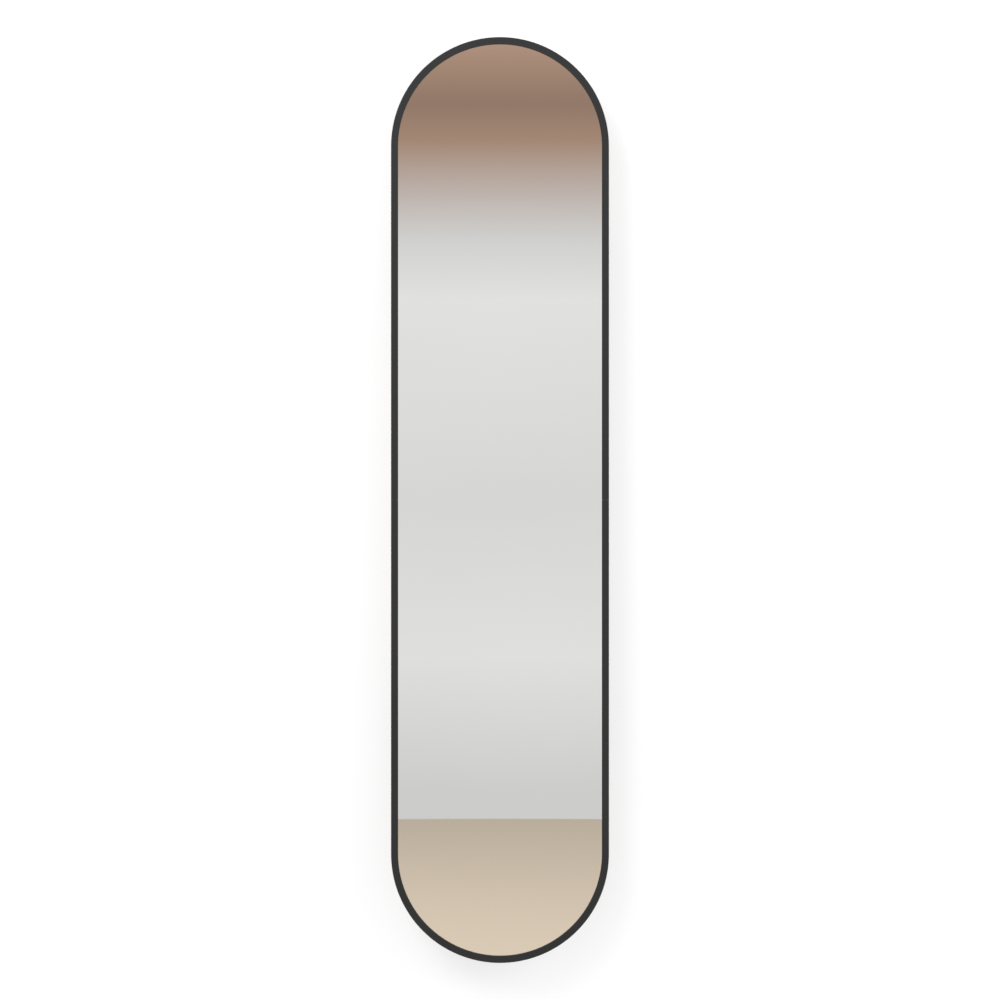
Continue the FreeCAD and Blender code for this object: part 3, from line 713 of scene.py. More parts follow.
# How each finish looks: scale of its grain and its drift, shares of its tone in shade, light and specks,
# roughness range, bump depth in millimetres, edge wear and the tone under it, dust, metallic and specular
# level, for metal and fibres the stretch of their lines, and how strongly lines, clouds and flecks show.
POWDER = dict(
    grain=1800.0, drift=9.0, shade=0.88, light=1.06, speckle=1.15, roughness=(0.36, 0.46), depth=0.06,
    wear=0.14, bare=(0.16, 0.16, 0.17), dust=0.06, metallic=0.0, specular=0.3,
)
TEXTURED = dict(
    POWDER, grain=1300.0, shade=0.80, light=1.12, speckle=1.5, roughness=(0.42, 0.56), depth=0.12, wear=0.45,
    dust=0.10,
)
PLATED = dict(
    grain=1500.0, drift=24.0, shade=0.70, light=1.04, speckle=0.94, roughness=(0.22, 0.38), depth=0.02,
    wear=0.0, dust=0.06, metallic=1.0, specular=0.5, stretch=(9.0, 900.0, 900.0), streak=0.60,
)
POLISHED = dict(
    PLATED, stretch=(300.0, 300.0, 300.0), streak=0.12, roughness=(0.05, 0.12), shade=0.92, speckle=0.98,
    dust=0.02,
)
DRAWN = dict(PLATED, stretch=(900.0, 900.0, 12.0), roughness=(0.28, 0.42))
TURNED = dict(PLATED, stretch=(90.0, 90.0, 1900.0), streak=0.25, roughness=(0.16, 0.28))
MOULDED = dict(
    grain=1300.0, drift=16.0, shade=0.82, light=1.12, speckle=1.25, roughness=(0.44, 0.56), depth=0.06,
    wear=0.20, bare=(0.08, 0.08, 0.08), dust=0.12, metallic=0.0, specular=0.4,
)
GLOSSY = dict(MOULDED, roughness=(0.30, 0.40), wear=0.0, shade=0.94, light=1.0)
FILM = dict(MOULDED, roughness=(0.35, 0.50), grain=500.0, wear=0.0, shade=0.90)
SILVERED = dict(grain=260.0, drift=3.0, shade=0.985, roughness=(0.0, 0.012), coat=0.6)
FIBROUS = dict(
    grain=520.0, drift=14.0, shade=0.55, light=1.5, roughness=(0.62, 0.80), depth=0.25,
    stretch=(900.0, 900.0, 110.0), clouds=0.25, strands=0.38, pores=0.35, flecks=0.55, fleck_scale=170.0,
    screen_scale=620.0,
)
LOOKS = {
    "silvered_glass": (silvered, "silver", SILVERED),
    "fibre_board": (fibrous, "board", FIBROUS),
    "charcoal_frame": (coated, "charcoal", POWDER),
    "painted_steel": (coated, "graphite", TEXTURED),
    "painted_casting": (coated, "graphite", dict(TEXTURED, grain=900.0, depth=0.18)),
    "slide_steel": (coated, "zinc", PLATED),
    "bright_fastener": (coated, "zinc", TURNED),
    "cage_steel": (coated, "cage", dict(PLATED, roughness=(0.28, 0.44))),
    "ball_steel": (coated, "ball", POLISHED),
    "black_rubber": (coated, "rubber", dict(MOULDED, roughness=(0.66, 0.80), grain=1100.0, depth=0.08)),
    "seal_rubber": (coated, "rubber", dict(MOULDED, roughness=(0.74, 0.88), grain=700.0, depth=0.10)),
    "black_plastic": (coated, "plastic", MOULDED),
    "bush_plastic": (coated, "acetal", GLOSSY),
    "plain_aluminium": (coated, "aluminium", DRAWN),
    "film_plastic": (coated, "film", FILM),
}


def new_material(name):
    """New material, its node tree, its shader and the object's own coordinates."""
    material = bpy.data.materials.new(name)
    material.use_nodes = True
    tree = material.node_tree
    return material, tree, tree.nodes["Principled BSDF"], node(tree, "ShaderNodeTexCoord").outputs["Object"]


def finish_named(slot):
    """Material of one of the record's slots, built when it is first asked for."""
    name = slot + "_finish"
    if name in bpy.data.materials:
        return bpy.data.materials[name]
    material, tree, shader, place = new_material(name)
    make, tone, look = LOOKS[slot]
    make(tree, shader, place, getattr(bpy.context.scene.mirror_finishes, tone), look)
    return material


# ---------------------------------------------------------------- frame and panes

KEY_TEETH = (2, 3, 4, 5)


def pill(inset, front, back, steps):
    """Pill-shaped plate inset from the frame's outline, between two depths."""
    radius = ARCH_RADIUS - inset
    pen = Pen((radius, front, -ARCH_LEVEL))
    pen.to((radius, front, ARCH_LEVEL)).about((0, front, ARCH_LEVEL), -ALONG_Y, 180, steps)
    pen.to((-radius, front, -ARCH_LEVEL)).about((0, front, -ARCH_LEVEL), -ALONG_Y, 180, steps)
    return pen.prism((0, back - front, 0))


def frame_half(sizes):
    """Upper half of the frame: its section swept up one leg, round the arch and down the other."""
    outer = ARCH_RADIUS
    wall = outer - sizes.wall
    inner = outer - sizes.rib
    lip = outer - sizes.rim
    front = RIM_LOW.y
    back = RIM_HIGH.y
    lip_back = front + sizes.wall
    rib_front = back - sizes.rib_depth
    seam = RIM_LOW.z
    rise = ALONG_Z * (ARCH_LEVEL - seam)
    pen = Pen((outer, back, seam))
    pen.round((outer, front, seam), (lip, front, seam), sizes.outer_round)
    pen.round((lip, front, seam), (lip, lip_back, seam), sizes.inner_round)
    corners = [(lip, lip_back), (wall, lip_back), (wall, rib_front)]
    corners += [(inner, rib_front), (inner, back), (outer, back)]
    for across, depth in corners:
        pen.to((across, depth, seam))
    pen.close().push(rise)
    bpy.ops.mesh.spin(steps=sizes.arch_steps, angle=math.pi, center=(0, 0, ARCH_LEVEL), axis=ALONG_Y)
    pen.push(-rise)

    def at_end(point, side):
        place = pen.piece.matrix_world @ point.co
        return near(place.z, seam) and place.x * side > 0

    for side in (1, -1):
        select_where(pen.piece, "VERT", "vertices", lambda point: at_end(point, side))
        bpy.ops.mesh.edge_face_add()
    return pen.whole()


class MIRROR_OT_frame(Operator):
    """Builds the two halves of the bent frame, with their splice keys' pockets"""

    bl_idname = "mirror.frame"
    bl_label = "Frame halves"

    def execute(self, context):
        sizes = context.scene.mirror_frame
        hardware = context.scene.mirror_hardware
        half = frame_half(sizes)
        gap = Vector((1, 1, 1)) * sizes.key_clearance
        pocket = block(KEY_LOW - gap, KEY_HIGH + gap)
        seats = crossbar_seats(hardware, sizes)
        bores = holes(hardware.screw_hole, seats, Vector(), ALONG_Y * -sizes.screw_pocket, sides=24)
        cut(half, pocket, mirrored(pocket, ALONG_X), *bores)
        dress_each(half, "frame_rail", "mirror", "charcoal_frame", "frame_half", edge=0.15)
        return {"FINISHED"}


class MIRROR_OT_panes(Operator):
    """Builds what lies in the frame: silvered glass, backing board, safety film and foam ring"""

    bl_idname = "mirror.panes"
    bl_label = "Glass, board, film and seal"

    def execute(self, context):
        sizes = context.scene.mirror_frame
        panes = (
            ("mirror_glass", "silvered_pane", "silvered_glass", sizes.glass_seam / MM),
            ("backing_board", "back_panel", "fibre_board", 0.3),
            ("safety_film", "backing_film", "film_plastic", 0.06),
            ("glass_seal", "foam_ring", "seal_rubber", 0.2),
        )
        for replaced, name, finish, edge in panes:
            low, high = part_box(replaced)
            inset = ARCH_RADIUS - high.x
            pane = pill(inset, low.y, high.y, sizes.arch_steps)
            if replaced == "glass_seal":
                cut(pane, pill(inset + sizes.seal_width, low.y - CLEAR, high.y + CLEAR, sizes.arch_steps))
            dress(pane, name, "mirror", finish, replaced, edge=edge)
        return {"FINISHED"}


class MIRROR_OT_keys(Operator):
    """Builds the two splice keys that join the frame halves, chamfered and toothed so that they grip"""

    bl_idname = "mirror.keys"
    bl_label = "Splice keys"

    def execute(self, context):
        sizes = context.scene.mirror_frame
        right = block(KEY_LOW, KEY_HIGH)
        round_edges(right, lambda place, way: near(abs(place.z), KEY_HIGH.z), sizes.key_chamfer, segments=1)
        tooth = Vector((sizes.key_tooth, 2 * (KEY_HIGH.y - KEY_LOW.y), sizes.key_tooth))
        notches = []
        for face in (KEY_LOW.x, KEY_HIGH.x):
            for side in (1, -1):
                for count in KEY_TEETH:
                    middle = Vector((face, KEY_LOW.y, side * count * sizes.key_tooth_pitch))
                    notches.append(block(middle - tooth, middle + tooth))
        cut(right, *notches)
        for side, key in (("right_", right), ("left_", mirrored(right, ALONG_X))):
            dress(key, side + "splice_bar", "mirror", "plain_aluminium", side + "splice_key", edge=0.12)
        return {"FINISHED"}


# ---------------------------------------------------------------- crossbars

# Outline of a buffer in shares of its radius and height: its foot, its neck, and the dome on it.
BUFFER_FOOT = ((0, 0), (1, 0), (1, 0.22), (0.82, 0.30), (0.80, 0.55))
BUFFER_NECK = 0.80
BUFFER_DOME = 0.28
BEAD_CREST = 0.9


def crossbar_seats(hardware, sizes):
    """Seats of the upper crossbar's four screws."""
    across = ARCH_RADIUS - sizes.rib / 2
    up = hardware.crossbar_screw_pitch / 2
    depth = RIM_HIGH.y + hardware.crossbar_sheet
    return [Vector((side * across, depth, CROSSBAR_LEVEL + step)) for side in (1, -1) for step in (up, -up)]


def ear(hardware, base):
    """Hinge ear of a crossbar's flange, with fillets at its root."""
    radius = hardware.ear_radius
    fillet = hardware.ear_fillet
    root = RIM_HIGH.y + hardware.crossbar_sheet + hardware.crossbar_flange
    left = PIVOT.x - radius
    right = PIVOT.x + radius
    deep = root - hardware.crossbar_flange / 2
    pen = Pen((left - fillet, deep, base))
    pen.to((left - fillet, root, base)).about((left - fillet, root + fillet, base), ALONG_Z, 90)
    pen.to((left, PIVOT.y, base)).about((PIVOT.x, PIVOT.y, base), -ALONG_Z, 180, steps=32)
    pen.to((right, root + fillet, base)).about((right + fillet, root + fillet, base), ALONG_Z, 90)
    pen.to((right + fillet, deep, base)).to((left - fillet, deep, base))
    return pen.prism(ALONG_Z * hardware.crossbar_sheet)


def stiffening_bead(hardware):
    """Pressed bead with round ends along a crossbar's web."""
    web = RIM_HIGH.y + hardware.crossbar_sheet
    crest = web + hardware.bead_height
    half = hardware.bead_width / 2
    low = (CROSSBAR_LOW.x + hardware.bead_inset, web - hardware.crossbar_sheet / 2, CROSSBAR_LEVEL - half)
    high = (BUFFERS_LOW.x - hardware.bead_width, crest, CROSSBAR_LEVEL + half)
    bead = block(low, high)
    round_edges(bead, edges_along(ALONG_Y), NEARLY_HALF * half, segments=10)
    crest_round = BEAD_CREST * hardware.bead_height
    return round_edges(bead, lambda place, way: near(place.y, crest), crest_round, segments=5)


class MIRROR_OT_crossbars(Operator):
    """Builds the pressed crossbars with their hinge ears"""

    bl_idname = "mirror.crossbars"
    bl_label = "Crossbars"

    def execute(self, context):
        hardware = context.scene.mirror_hardware
        sheet = hardware.crossbar_sheet
        web = RIM_HIGH.y + sheet / 2
        rim = RIM_HIGH.y + sheet + hardware.crossbar_flange
        left = CROSSBAR_LOW.x
        low = CROSSBAR_LOW.z + sheet / 2
        high = CROSSBAR_HIGH.z - sheet / 2
        corners = [(left, web, low), (left, web, high), (left, rim, high)]
        pen = Pen((left, rim, low)).through(corners, hardware.crossbar_bend)
        channel = sheet_metal(pen, ALONG_X * (CROSSBAR_HIGH.x - left), sheet)

        def flange_end(place, way):
            return near(place.x, left, CROSSBAR_HIGH.x) and near(place.y, rim) and runs(way, ALONG_Z)

        round_edges(channel, flange_end, hardware.crossbar_corner)
        weld(channel, ear(hardware, CROSSBAR_LOW.z), ear(hardware, CROSSBAR_HIGH.z - sheet))
        weld(channel, stiffening_bead(hardware))
        reach = ALONG_Z * (CROSSBAR_HIGH.z - CROSSBAR_LOW.z)
        bore = rod(hardware.pin_hole, BARREL_MIDDLE - reach, BARREL_MIDDLE + reach)
        seats = crossbar_seats(hardware, context.scene.mirror_frame)
        cut(channel, bore, *holes(hardware.screw_hole, seats, ALONG_Y * -2 * sheet, ALONG_Y * sheet))
        dress_each(channel, "crossbar_channel", "mirror", "painted_steel", "crossbar", edge=0.25)
        return {"FINISHED"}


class MIRROR_OT_buffers(Operator):
    """Builds the rubber buffers that the closed mirror rests on"""

    bl_idname = "mirror.buffers"
    bl_label = "Parking buffers"

    def execute(self, context):
        radius = (BUFFERS_HIGH.x - BUFFERS_LOW.x) / 2
        height = BUFFERS_HIGH.y - BUFFERS_LOW.y
        outline = list(BUFFER_FOOT)
        for turn in quarter_turn(6):
            outline.append((BUFFER_NECK * math.cos(turn), 1 - BUFFER_DOME + BUFFER_DOME * math.sin(turn)))
        seat = Vector((BUFFERS_LOW.x + radius, BUFFERS_LOW.y, BUFFERS_HIGH.z - radius))
        buffer = turned([(radius * across, height * up) for across, up in outline])
        buffer = moved(buffer, aim(seat, ALONG_Y))
        dress_pair(buffer, "rubber_rests", "mirror", "black_rubber", "parking_buffers", edge=0.25)
        return {"FINISHED"}


# ---------------------------------------------------------------- fasteners

SCREW_THREAD = dict(depth=0.24 * MM, pitch=0.7 * MM)
SCREW_RUNOUT = 0.4 * MM
BOLT_THREAD = dict(depth=0.3 * MM, pitch=1.0 * MM)
NUT_PLAY = 0.05 * MM
NUT_COUNTERSINK = 0.5 * MM

# Cross recess: half the width of a blade, its reach from the middle, its depth, and its share at the bottom.
BLADE_WIDTH = 0.5 * MM
BLADE_REACH = 1.9 * MM
BLADE_DEPTH = 1.4 * MM
BLADE_TAPER = 0.45

# Pan head: its straight side, the start of its dome and its bearing face as shares, and the dome's exponent.
HEAD_SIDE = 0.3
HEAD_DOME = 0.42
HEAD_BEARING = 0.96
HEAD_FULLNESS = 0.8

# Turns of the recesses in degrees: the first screw's, and the step to the next.
FIRST_TURN = 11
NEXT_TURN = 37

# Hexagon: share of a corner's width that the chamfer drops, and radii of its cone as shares.
CHAMFER_DROP = 0.6
CHAMFER_INSIDE = 0.97
CHAMFER_OUTSIDE = 1.05


def thread(radius, top, bottom, depth, pitch):
    """Profile points of a thread from its top down to its pointed end."""
    points = []
    level = top
    while level - pitch > bottom + depth:
        points += [(radius, level), (radius - depth, level - pitch / 2)]
        level -= pitch
    return points + [(radius, level), (radius - 2 * depth, bottom), (0, bottom)]


def cross_bit():
    """Tapered cross-shaped bit that cuts a screw's recess, its point down."""
    blades = []
    for reach, width in ((BLADE_REACH, BLADE_WIDTH), (BLADE_WIDTH, BLADE_REACH)):
        blade = block((-reach, -width, -BLADE_DEPTH), (reach, width, BLADE_DEPTH))
        select_where(blade, "FACE", "polygons", lambda face: runs(face.normal, ALONG_Z) and face.normal.z < 0)
        taper = (BLADE_TAPER, BLADE_TAPER, 1)
        bpy.ops.transform.resize(value=taper, center_override=(0, 0, -BLADE_DEPTH))
        deselect()
        blades.append(blade)
    return weld(*blades)


def pan_screw(hardware, grip_length):
    """Pan-head screw that stands on the origin and drives down."""
    head = hardware.screw_head
    height = hardware.screw_head_height
    radius = hardware.screw_radius
    profile = [(0, height)]
    for turn in quarter_turn(8)[1:]:
        rise = HEAD_DOME + (1 - HEAD_DOME) * math.cos(turn) ** HEAD_FULLNESS
        profile.append((head * math.sin(turn) ** HEAD_FULLNESS, height * rise))
    profile += [(head, HEAD_SIDE * height), (HEAD_BEARING * head, 0), (radius, 0)]
    profile += thread(radius, -SCREW_RUNOUT, -grip_length, **SCREW_THREAD)
    screw = turned(profile, steps=32)
    return cut(screw, moved(cross_bit(), Matrix.Translation((0, 0, height))))


def slide_seats(hardware):
    """Seats of the upper slide's two screws in the upright's web."""
    across = UPRIGHT_LOW.x + hardware.upright_width / 2
    depth = UPRIGHT_HIGH.y - hardware.upright_sheet
    up = hardware.slide_screw_pitch / 2
    return [Vector((across, depth, SLIDE_LEVEL + step)) for step in (up, -up)]


def plate_top(hardware):
    """Depth at which the pivot block's plate ends, beside the upright's bend."""
    return UPRIGHT_HIGH.y - hardware.upright_sheet - hardware.upright_bend


def plate_seats(hardware):
    """Seats of the upper pivot block's two screws."""
    across = BLOCK_LOW.x + hardware.plate
    depth = (UPRIGHT_LOW.y + plate_top(hardware)) / 2
    up = (BLOCK_HIGH.z - BLOCK_LOW.z) / 2 - hardware.plate_screw_inset
    return [Vector((across, depth, CROSSBAR_LEVEL + step)) for step in (up, -up)]


class MIRROR_OT_screws(Operator):
    """Builds the pan-head screws of the crossbars, the slides and the pivot blocks"""

    bl_idname = "mirror.screws"
    bl_label = "Screws"

    def execute(self, context):
        hardware = context.scene.mirror_hardware
        crossbar = crossbar_seats(hardware, context.scene.mirror_frame)
        sets = (
            ("crossbar_", "mirror", crossbar, ALONG_Y, hardware.crossbar_sheet, "crossbar_screws"),
            ("slide_", "carriage", slide_seats(hardware), -ALONG_Y, hardware.upright_sheet, "slide_screws"),
            ("block_", "carriage", plate_seats(hardware), ALONG_X, hardware.plate, "pivot_block_screws"),
        )
        for name, body, seats, way, clamped, replaced in sets:
            pattern = pan_screw(hardware, clamped + hardware.screw_bite)
            screws = []
            for index, seat in enumerate(seats + [Vector((*seat.xy, -seat.z)) for seat in seats]):
                turn = Matrix.Rotation(math.radians(FIRST_TURN + NEXT_TURN * index), 4, "Z")
                screws.append(copy_of(pattern, aim(seat, way) @ turn))
            bpy.data.objects.remove(pattern)
            dress(joined(*screws), name + "pan_screws", body, "bright_fastener", replaced, edge=0)
        return {"FINISHED"}


def hexagon(wrench, low, high, chamfer_low):
    """Hexagonal prism about Z whose corners are turned down at its top, and at its foot if asked."""
    radius = wrench / math.sqrt(3)
    inside = CHAMFER_INSIDE * wrench / 2
    outside = CHAMFER_OUTSIDE * radius
    slope = CHAMFER_DROP * (outside - inside)
    foot = [(inside, low), (0, low)] if chamfer_low else [(outside, low), (0, low)]
    profile = [(0, high), (inside, high), (outside, high - slope), (outside, low + slope), *foot]
    return combine(rod(radius, (0, 0, low), (0, 0, high), 6), (turned(profile),), "INTERSECT")


def nut_bore(radius, low, high):
    """Turned tool for a nut's hole, with a countersink at both ends."""
    bore = radius + NUT_PLAY
    mouth = bore + CLEAR
    profile = [(0, high + CLEAR), (mouth, high + CLEAR), (bore, high - NUT_COUNTERSINK)]
    profile += [(bore, low + NUT_COUNTERSINK), (mouth, low - CLEAR), (0, low - CLEAR)]
    return turned(profile)


class MIRROR_OT_pivots(Operator):
    """Builds the pivot bolts, their nuts and the bushes that they turn in"""

    bl_idname = "mirror.pivots"
    bl_label = "Pivot bolts, nuts and bushes"

    def execute(self, context):
        hardware = context.scene.mirror_hardware
        radius = hardware.pin_radius
        top = PINS_HIGH.z
        head_base = top - hardware.bolt_head
        foot = 2 * CROSSBAR_LEVEL - head_base
        nut_base = foot - hardware.nut_height
        place = Matrix.Translation((PIVOT.x, PIVOT.y, 0))
        shank = [(0, head_base + CLEAR), (radius, head_base + CLEAR)]
        shank += thread(radius, foot - BOLT_THREAD["depth"], nut_base - hardware.bolt_tail, **BOLT_THREAD)
        bolt = weld(hexagon(hardware.wrench, head_base, top, False), turned(shank))
        dress_pair(moved(bolt, place), "pivot_bolts", "mirror", "bright_fastener", "pivot_pins", edge=0)
        nut = cut(hexagon(hardware.wrench, nut_base, foot, True), nut_bore(radius, nut_base, foot))
        dress_pair(moved(nut, place), "hexagon_nuts", "mirror", "bright_fastener", "pivot_nuts", edge=0)
        end = Vector((PIVOT.x, PIVOT.y, BUSHES_HIGH.z))
        start = end - ALONG_Z * hardware.barrel_length
        bush = rod((BUSHES_HIGH.x - BUSHES_LOW.x) / 2, start, end, sides=64)
        cut(bush, rod(hardware.pin_hole, start - ALONG_Z * CLEAR, end + ALONG_Z * CLEAR, sides=64))
        dress_pair(bush, "bearing_sleeves", "carriage", "bush_plastic", "pivot_bushes", edge=0.25)
        return {"FINISHED"}


class MIRROR_OT_pivot_blocks(Operator):
    """Builds the die-cast pivot blocks with plate, neck and barrel"""

    bl_idname = "mirror.pivot_blocks"
    bl_label = "Pivot blocks"

    def execute(self, context):
        hardware = context.scene.mirror_hardware
        left = BLOCK_LOW.x
        right = left + hardware.plate
        low = UPRIGHT_LOW.y
        high = plate_top(hardware)
        plate = block((left, low, BLOCK_LOW.z), (right, high, BLOCK_HIGH.z))

        def plate_corner(place, way):
            return near(place.z, BLOCK_LOW.z, BLOCK_HIGH.z) and runs(way, ALONG_X)

        round_edges(plate, plate_corner, hardware.plate_corner)
        reach = hardware.barrel_length
        base = CROSSBAR_LEVEL - reach / 2
        pen = Pen((left, low, base))
        pen.to((right, low, base)).to((PIVOT.x, PIVOT.y - hardware.barrel_radius, base))
        pen.about((PIVOT.x, PIVOT.y, base), ALONG_Z, 180, steps=36)
        pen.to((right, high, base)).to((left, high, base)).to((left, low, base))
        neck = pen.prism(ALONG_Z * reach)

        def barrel_end(place, way):
            return near(place.z, base, base + reach) and place.x > right + CLEAR

        round_edges(neck, barrel_end, hardware.barrel_round, segments=3)
        casting = weld(plate, neck)
        bore = rod(hardware.bore_radius, BARREL_MIDDLE - ALONG_Z * reach, BARREL_MIDDLE + ALONG_Z * reach)
        seats = plate_seats(hardware)
        cut(casting, bore, *holes(hardware.screw_hole, seats, ALONG_X * -2 * hardware.plate, ALONG_X * CLEAR))
        naming = ("hinge_casting", "carriage", "painted_casting", "pivot_block")
        dress_each(casting, *naming, edge=0.35, segments=3)
        return {"FINISHED"}


# ---------------------------------------------------------------- upright

CAP_OVERLAP = 0.5 * MM
TIP_PLAY = 0.05 * MM


class MIRROR_OT_upright(Operator):
    """Builds the lipped channel that ties the two slides"""

    bl_idname = "mirror.upright"
    bl_label = "Upright"

    def execute(self, context):
        hardware = context.scene.mirror_hardware
        sheet = hardware.upright_sheet
        left = UPRIGHT_LOW.x + sheet / 2
        right = UPRIGHT_LOW.x + hardware.upright_width - sheet / 2
        web = UPRIGHT_HIGH.y - sheet / 2
        lip = UPRIGHT_LOW.y + sheet / 2
        base = UPRIGHT_LOW.z
        reach = hardware.upright_lip
        corners = [(left, lip), (left, web), (right, web), (right, lip), (right - reach, lip)]
        pen = Pen((left + reach, lip, base))
        pen.through([(across, depth, base) for across, depth in corners], hardware.upright_bend)
        channel = sheet_metal(pen, ALONG_Z * (UPRIGHT_HIGH.z - base), sheet)

        def tab_corner(place, way):
            return near(place.x, UPRIGHT_HIGH.x) and runs(way, ALONG_Y)

        tall = hardware.tab_height / 2
        for middle in (CROSSBAR_LEVEL, -CROSSBAR_LEVEL):
            low = (right, web - sheet / 2, middle - tall)
            high = (UPRIGHT_HIGH.x, web + sheet / 2, middle + tall)
            weld(channel, round_edges(block(low, high), tab_corner, hardware.tab_corner))
        tools = holes(hardware.screw_hole, slide_seats(hardware), ALONG_Y * -sheet, ALONG_Y * 2 * sheet)
        faces = [seat - ALONG_X * hardware.plate for seat in plate_seats(hardware)]
        tools += holes(hardware.screw_hole, faces, ALONG_X * -2 * sheet, ALONG_X * sheet)
        cut(channel, *tools, *[mirrored(tool) for tool in tools])
        dress(channel, "carrying_post", "carriage", "painted_steel", "upright", edge=0.25)
        return {"FINISHED"}


def cap_block(inset, low, high):
    """Box of a cap's outline inset all round, between two levels."""
    return block((CAP_LOW.x + inset, CAP_LOW.y + inset, low), (CAP_HIGH.x - inset, CAP_HIGH.y - inset, high))


class MIRROR_OT_caps(Operator):
    """Builds the moulded caps that plug the upright"""

    bl_idname = "mirror.caps"
    bl_label = "Upright caps"

    def execute(self, context):
        hardware = context.scene.mirror_hardware
        top = UPRIGHT_HIGH.z
        corner = hardware.upright_bend + hardware.upright_sheet / 2
        gap = hardware.upright_sheet + hardware.cap_gap
        wall = hardware.cap_wall
        plate = cap_block(0, top, CAP_HIGH.z)
        round_edges(plate, edges_along(ALONG_Z), corner, segments=8)
        plug = cap_block(gap, CAP_LOW.z, top)
        round_edges(plug, edges_along(ALONG_Z), corner - gap / 2)
        cut(plug, cap_block(gap + wall, CAP_LOW.z - wall, top))
        cap = weld(plate, moved(plug, Matrix.Translation((0, 0, CAP_OVERLAP))))
        dress_each(cap, "moulded_cap", "carriage", "black_plastic", "upright_cap", edge=0.5, segments=3)
        return {"FINISHED"}


class MIRROR_OT_tips(Operator):
    """Builds the rubber tips on the upright's stop tabs"""

    bl_idname = "mirror.tips"
    bl_label = "Stop tips"

    def execute(self, context):
        hardware = context.scene.mirror_hardware
        low = Vector((TIPS_LOW.x, TIPS_LOW.y, 2 * CROSSBAR_LEVEL - TIPS_HIGH.z))
        middle = (low.x + TIPS_HIGH.x) / 2
        tip = block(low, TIPS_HIGH)
        round_edges(tip, lambda place, way: place.x > middle, hardware.tip_corner, segments=4)
        tall = hardware.tab_height / 2 + TIP_PLAY
        deep = UPRIGHT_HIGH.y - hardware.upright_sheet - TIP_PLAY
        start = (low.x - CLEAR, deep, CROSSBAR_LEVEL - tall)
        end = (UPRIGHT_HIGH.x + TIP_PLAY, UPRIGHT_HIGH.y + TIP_PLAY, CROSSBAR_LEVEL + tall)
        cut(tip, block(start, end))
        dress_pair(tip, "rubber_tips", "carriage", "black_rubber", "stop_tips", edge=0.2)
        return {"FINISHED"}


# ---------------------------------------------------------------- ball-bearing slides

# Slots through the slides' webs in millimetres: place along the slide, half length and half height.
OUTER_SLOTS = ((76, 7.5, 2.4), (-78, 7.5, 2.4), (44, 2.4, 6.5), (-44, 2.4, 6.5), (0, 3.2, 3.2))
MIDDLE_SLOTS = ((28, 26, 4.5), (-98, 24, 4.5))
INNER_SLOTS = ((62, 7.0, 2.4), (24, 2.4, 5.0), (-48, 7.0, 2.4), (-108, 2.4, 2.4))

INNER_HOLE_REACH = 5 * MM
BUMPER_GROOVE = Vector((1.2, 6, 1.1)) * MM
BALL_CUTS = 7


class SlideSection:
    """Key places of the slides' section, as depth from the panel and height from the slide's middle."""

    def __init__(self, sizes):
        self.race = sizes.ball + sizes.ball_clearance + sizes.sheet / 2
        self.outer_web = sizes.sheet / 2
        self.outer_cage_web = sizes.sheet + sizes.cage_gap + sizes.cage_sheet / 2
        self.middle_web = 1.5 * sizes.sheet + 2 * sizes.cage_gap + sizes.cage_sheet
        self.inner_cage_web = self.middle_web + (sizes.sheet + sizes.cage_sheet) / 2 + sizes.cage_gap
        self.inner_web = -INNER_LOW.y - sizes.sheet / 2
        self.top = OUTER_HIGH.z - SLIDE_LEVEL - sizes.sheet / 2
        step = Vector((math.cos(sizes.race_angle), math.sin(sizes.race_angle))) * 2 * self.race
        self.outer_ball = Vector((self.middle_web + self.race + step.x, self.top - self.race))
        self.inner_ball = self.outer_ball - step


def slide_point(along, depth, height):
    """Place in space of a point of the slide's section."""
    return Vector((along, -depth, SLIDE_LEVEL + height))


def pressed_stop(sizes, along, shallow, deep):
    """Small stop pressed out of a slide member's web."""
    reach = sizes.stop_height / 2
    stop = block(slide_point(along, deep, -reach), slide_point(along + sizes.sheet, shallow, reach))
    return round_edges(stop, edges_along(ALONG_X), sizes.stop_round, segments=3)


def oblong(along, web, reach, half_length, half_height, corner):
    """Cutting tool for a slot with round corners through a web at a depth."""
    low = slide_point(along - half_length, web + reach, -half_height)
    high = slide_point(along + half_length, web - reach, half_height)
    return round_edges(block(low, high), edges_along(ALONG_Y), corner, segments=8)


def web_slots(sizes, web, slots):
    """Cutting tools for a member's slots, with full round ends."""
    tools = []
    for slot in slots:
        along, half_length, half_height = [size * MM for size in slot]
        corner = NEARLY_HALF * min(half_length, half_height)
        tools.append(oblong(along, web, sizes.sheet, half_length, half_height, corner))
    return tools


def outer_member(sizes, section):
    """Member on the panel, with the outer races, its panel holes, fitting slots and a front stop."""
    start = OUTER_LOW.x
    sheet = sizes.sheet
    crown = slide_point(start, section.outer_ball.x, section.top)
    pen = Pen(slide_point(start, section.outer_web, 0))
    pen.round(slide_point(start, section.outer_web, section.top), crown, sizes.bend).to(crown)
    pen.about(slide_point(start, *section.outer_ball), ALONG_X, sizes.outer_curl)
    member = sheet_metal(pen, ALONG_X * (OUTER_HIGH.x - start), sheet, True)
    stop_at = OUTER_HIGH.x - sizes.stop_inset - sheet
    weld(member, pressed_stop(sizes, stop_at, sheet / 2, sheet + sizes.cage_gap + sizes.cage_sheet))
    half = PANEL_HOLES["spacing_x_mm"] / 2 * MM
    seats = [slide_point(along, 0, 0) for along in (half, -half)]
    radius = PANEL_HOLES["hole_r_mm"] * MM
    tools = holes(radius, seats, ALONG_Y * sheet, ALONG_Y * -2 * sheet, sides=48)
    return cut(member, *tools, *web_slots(sizes, section.outer_web, OUTER_SLOTS))


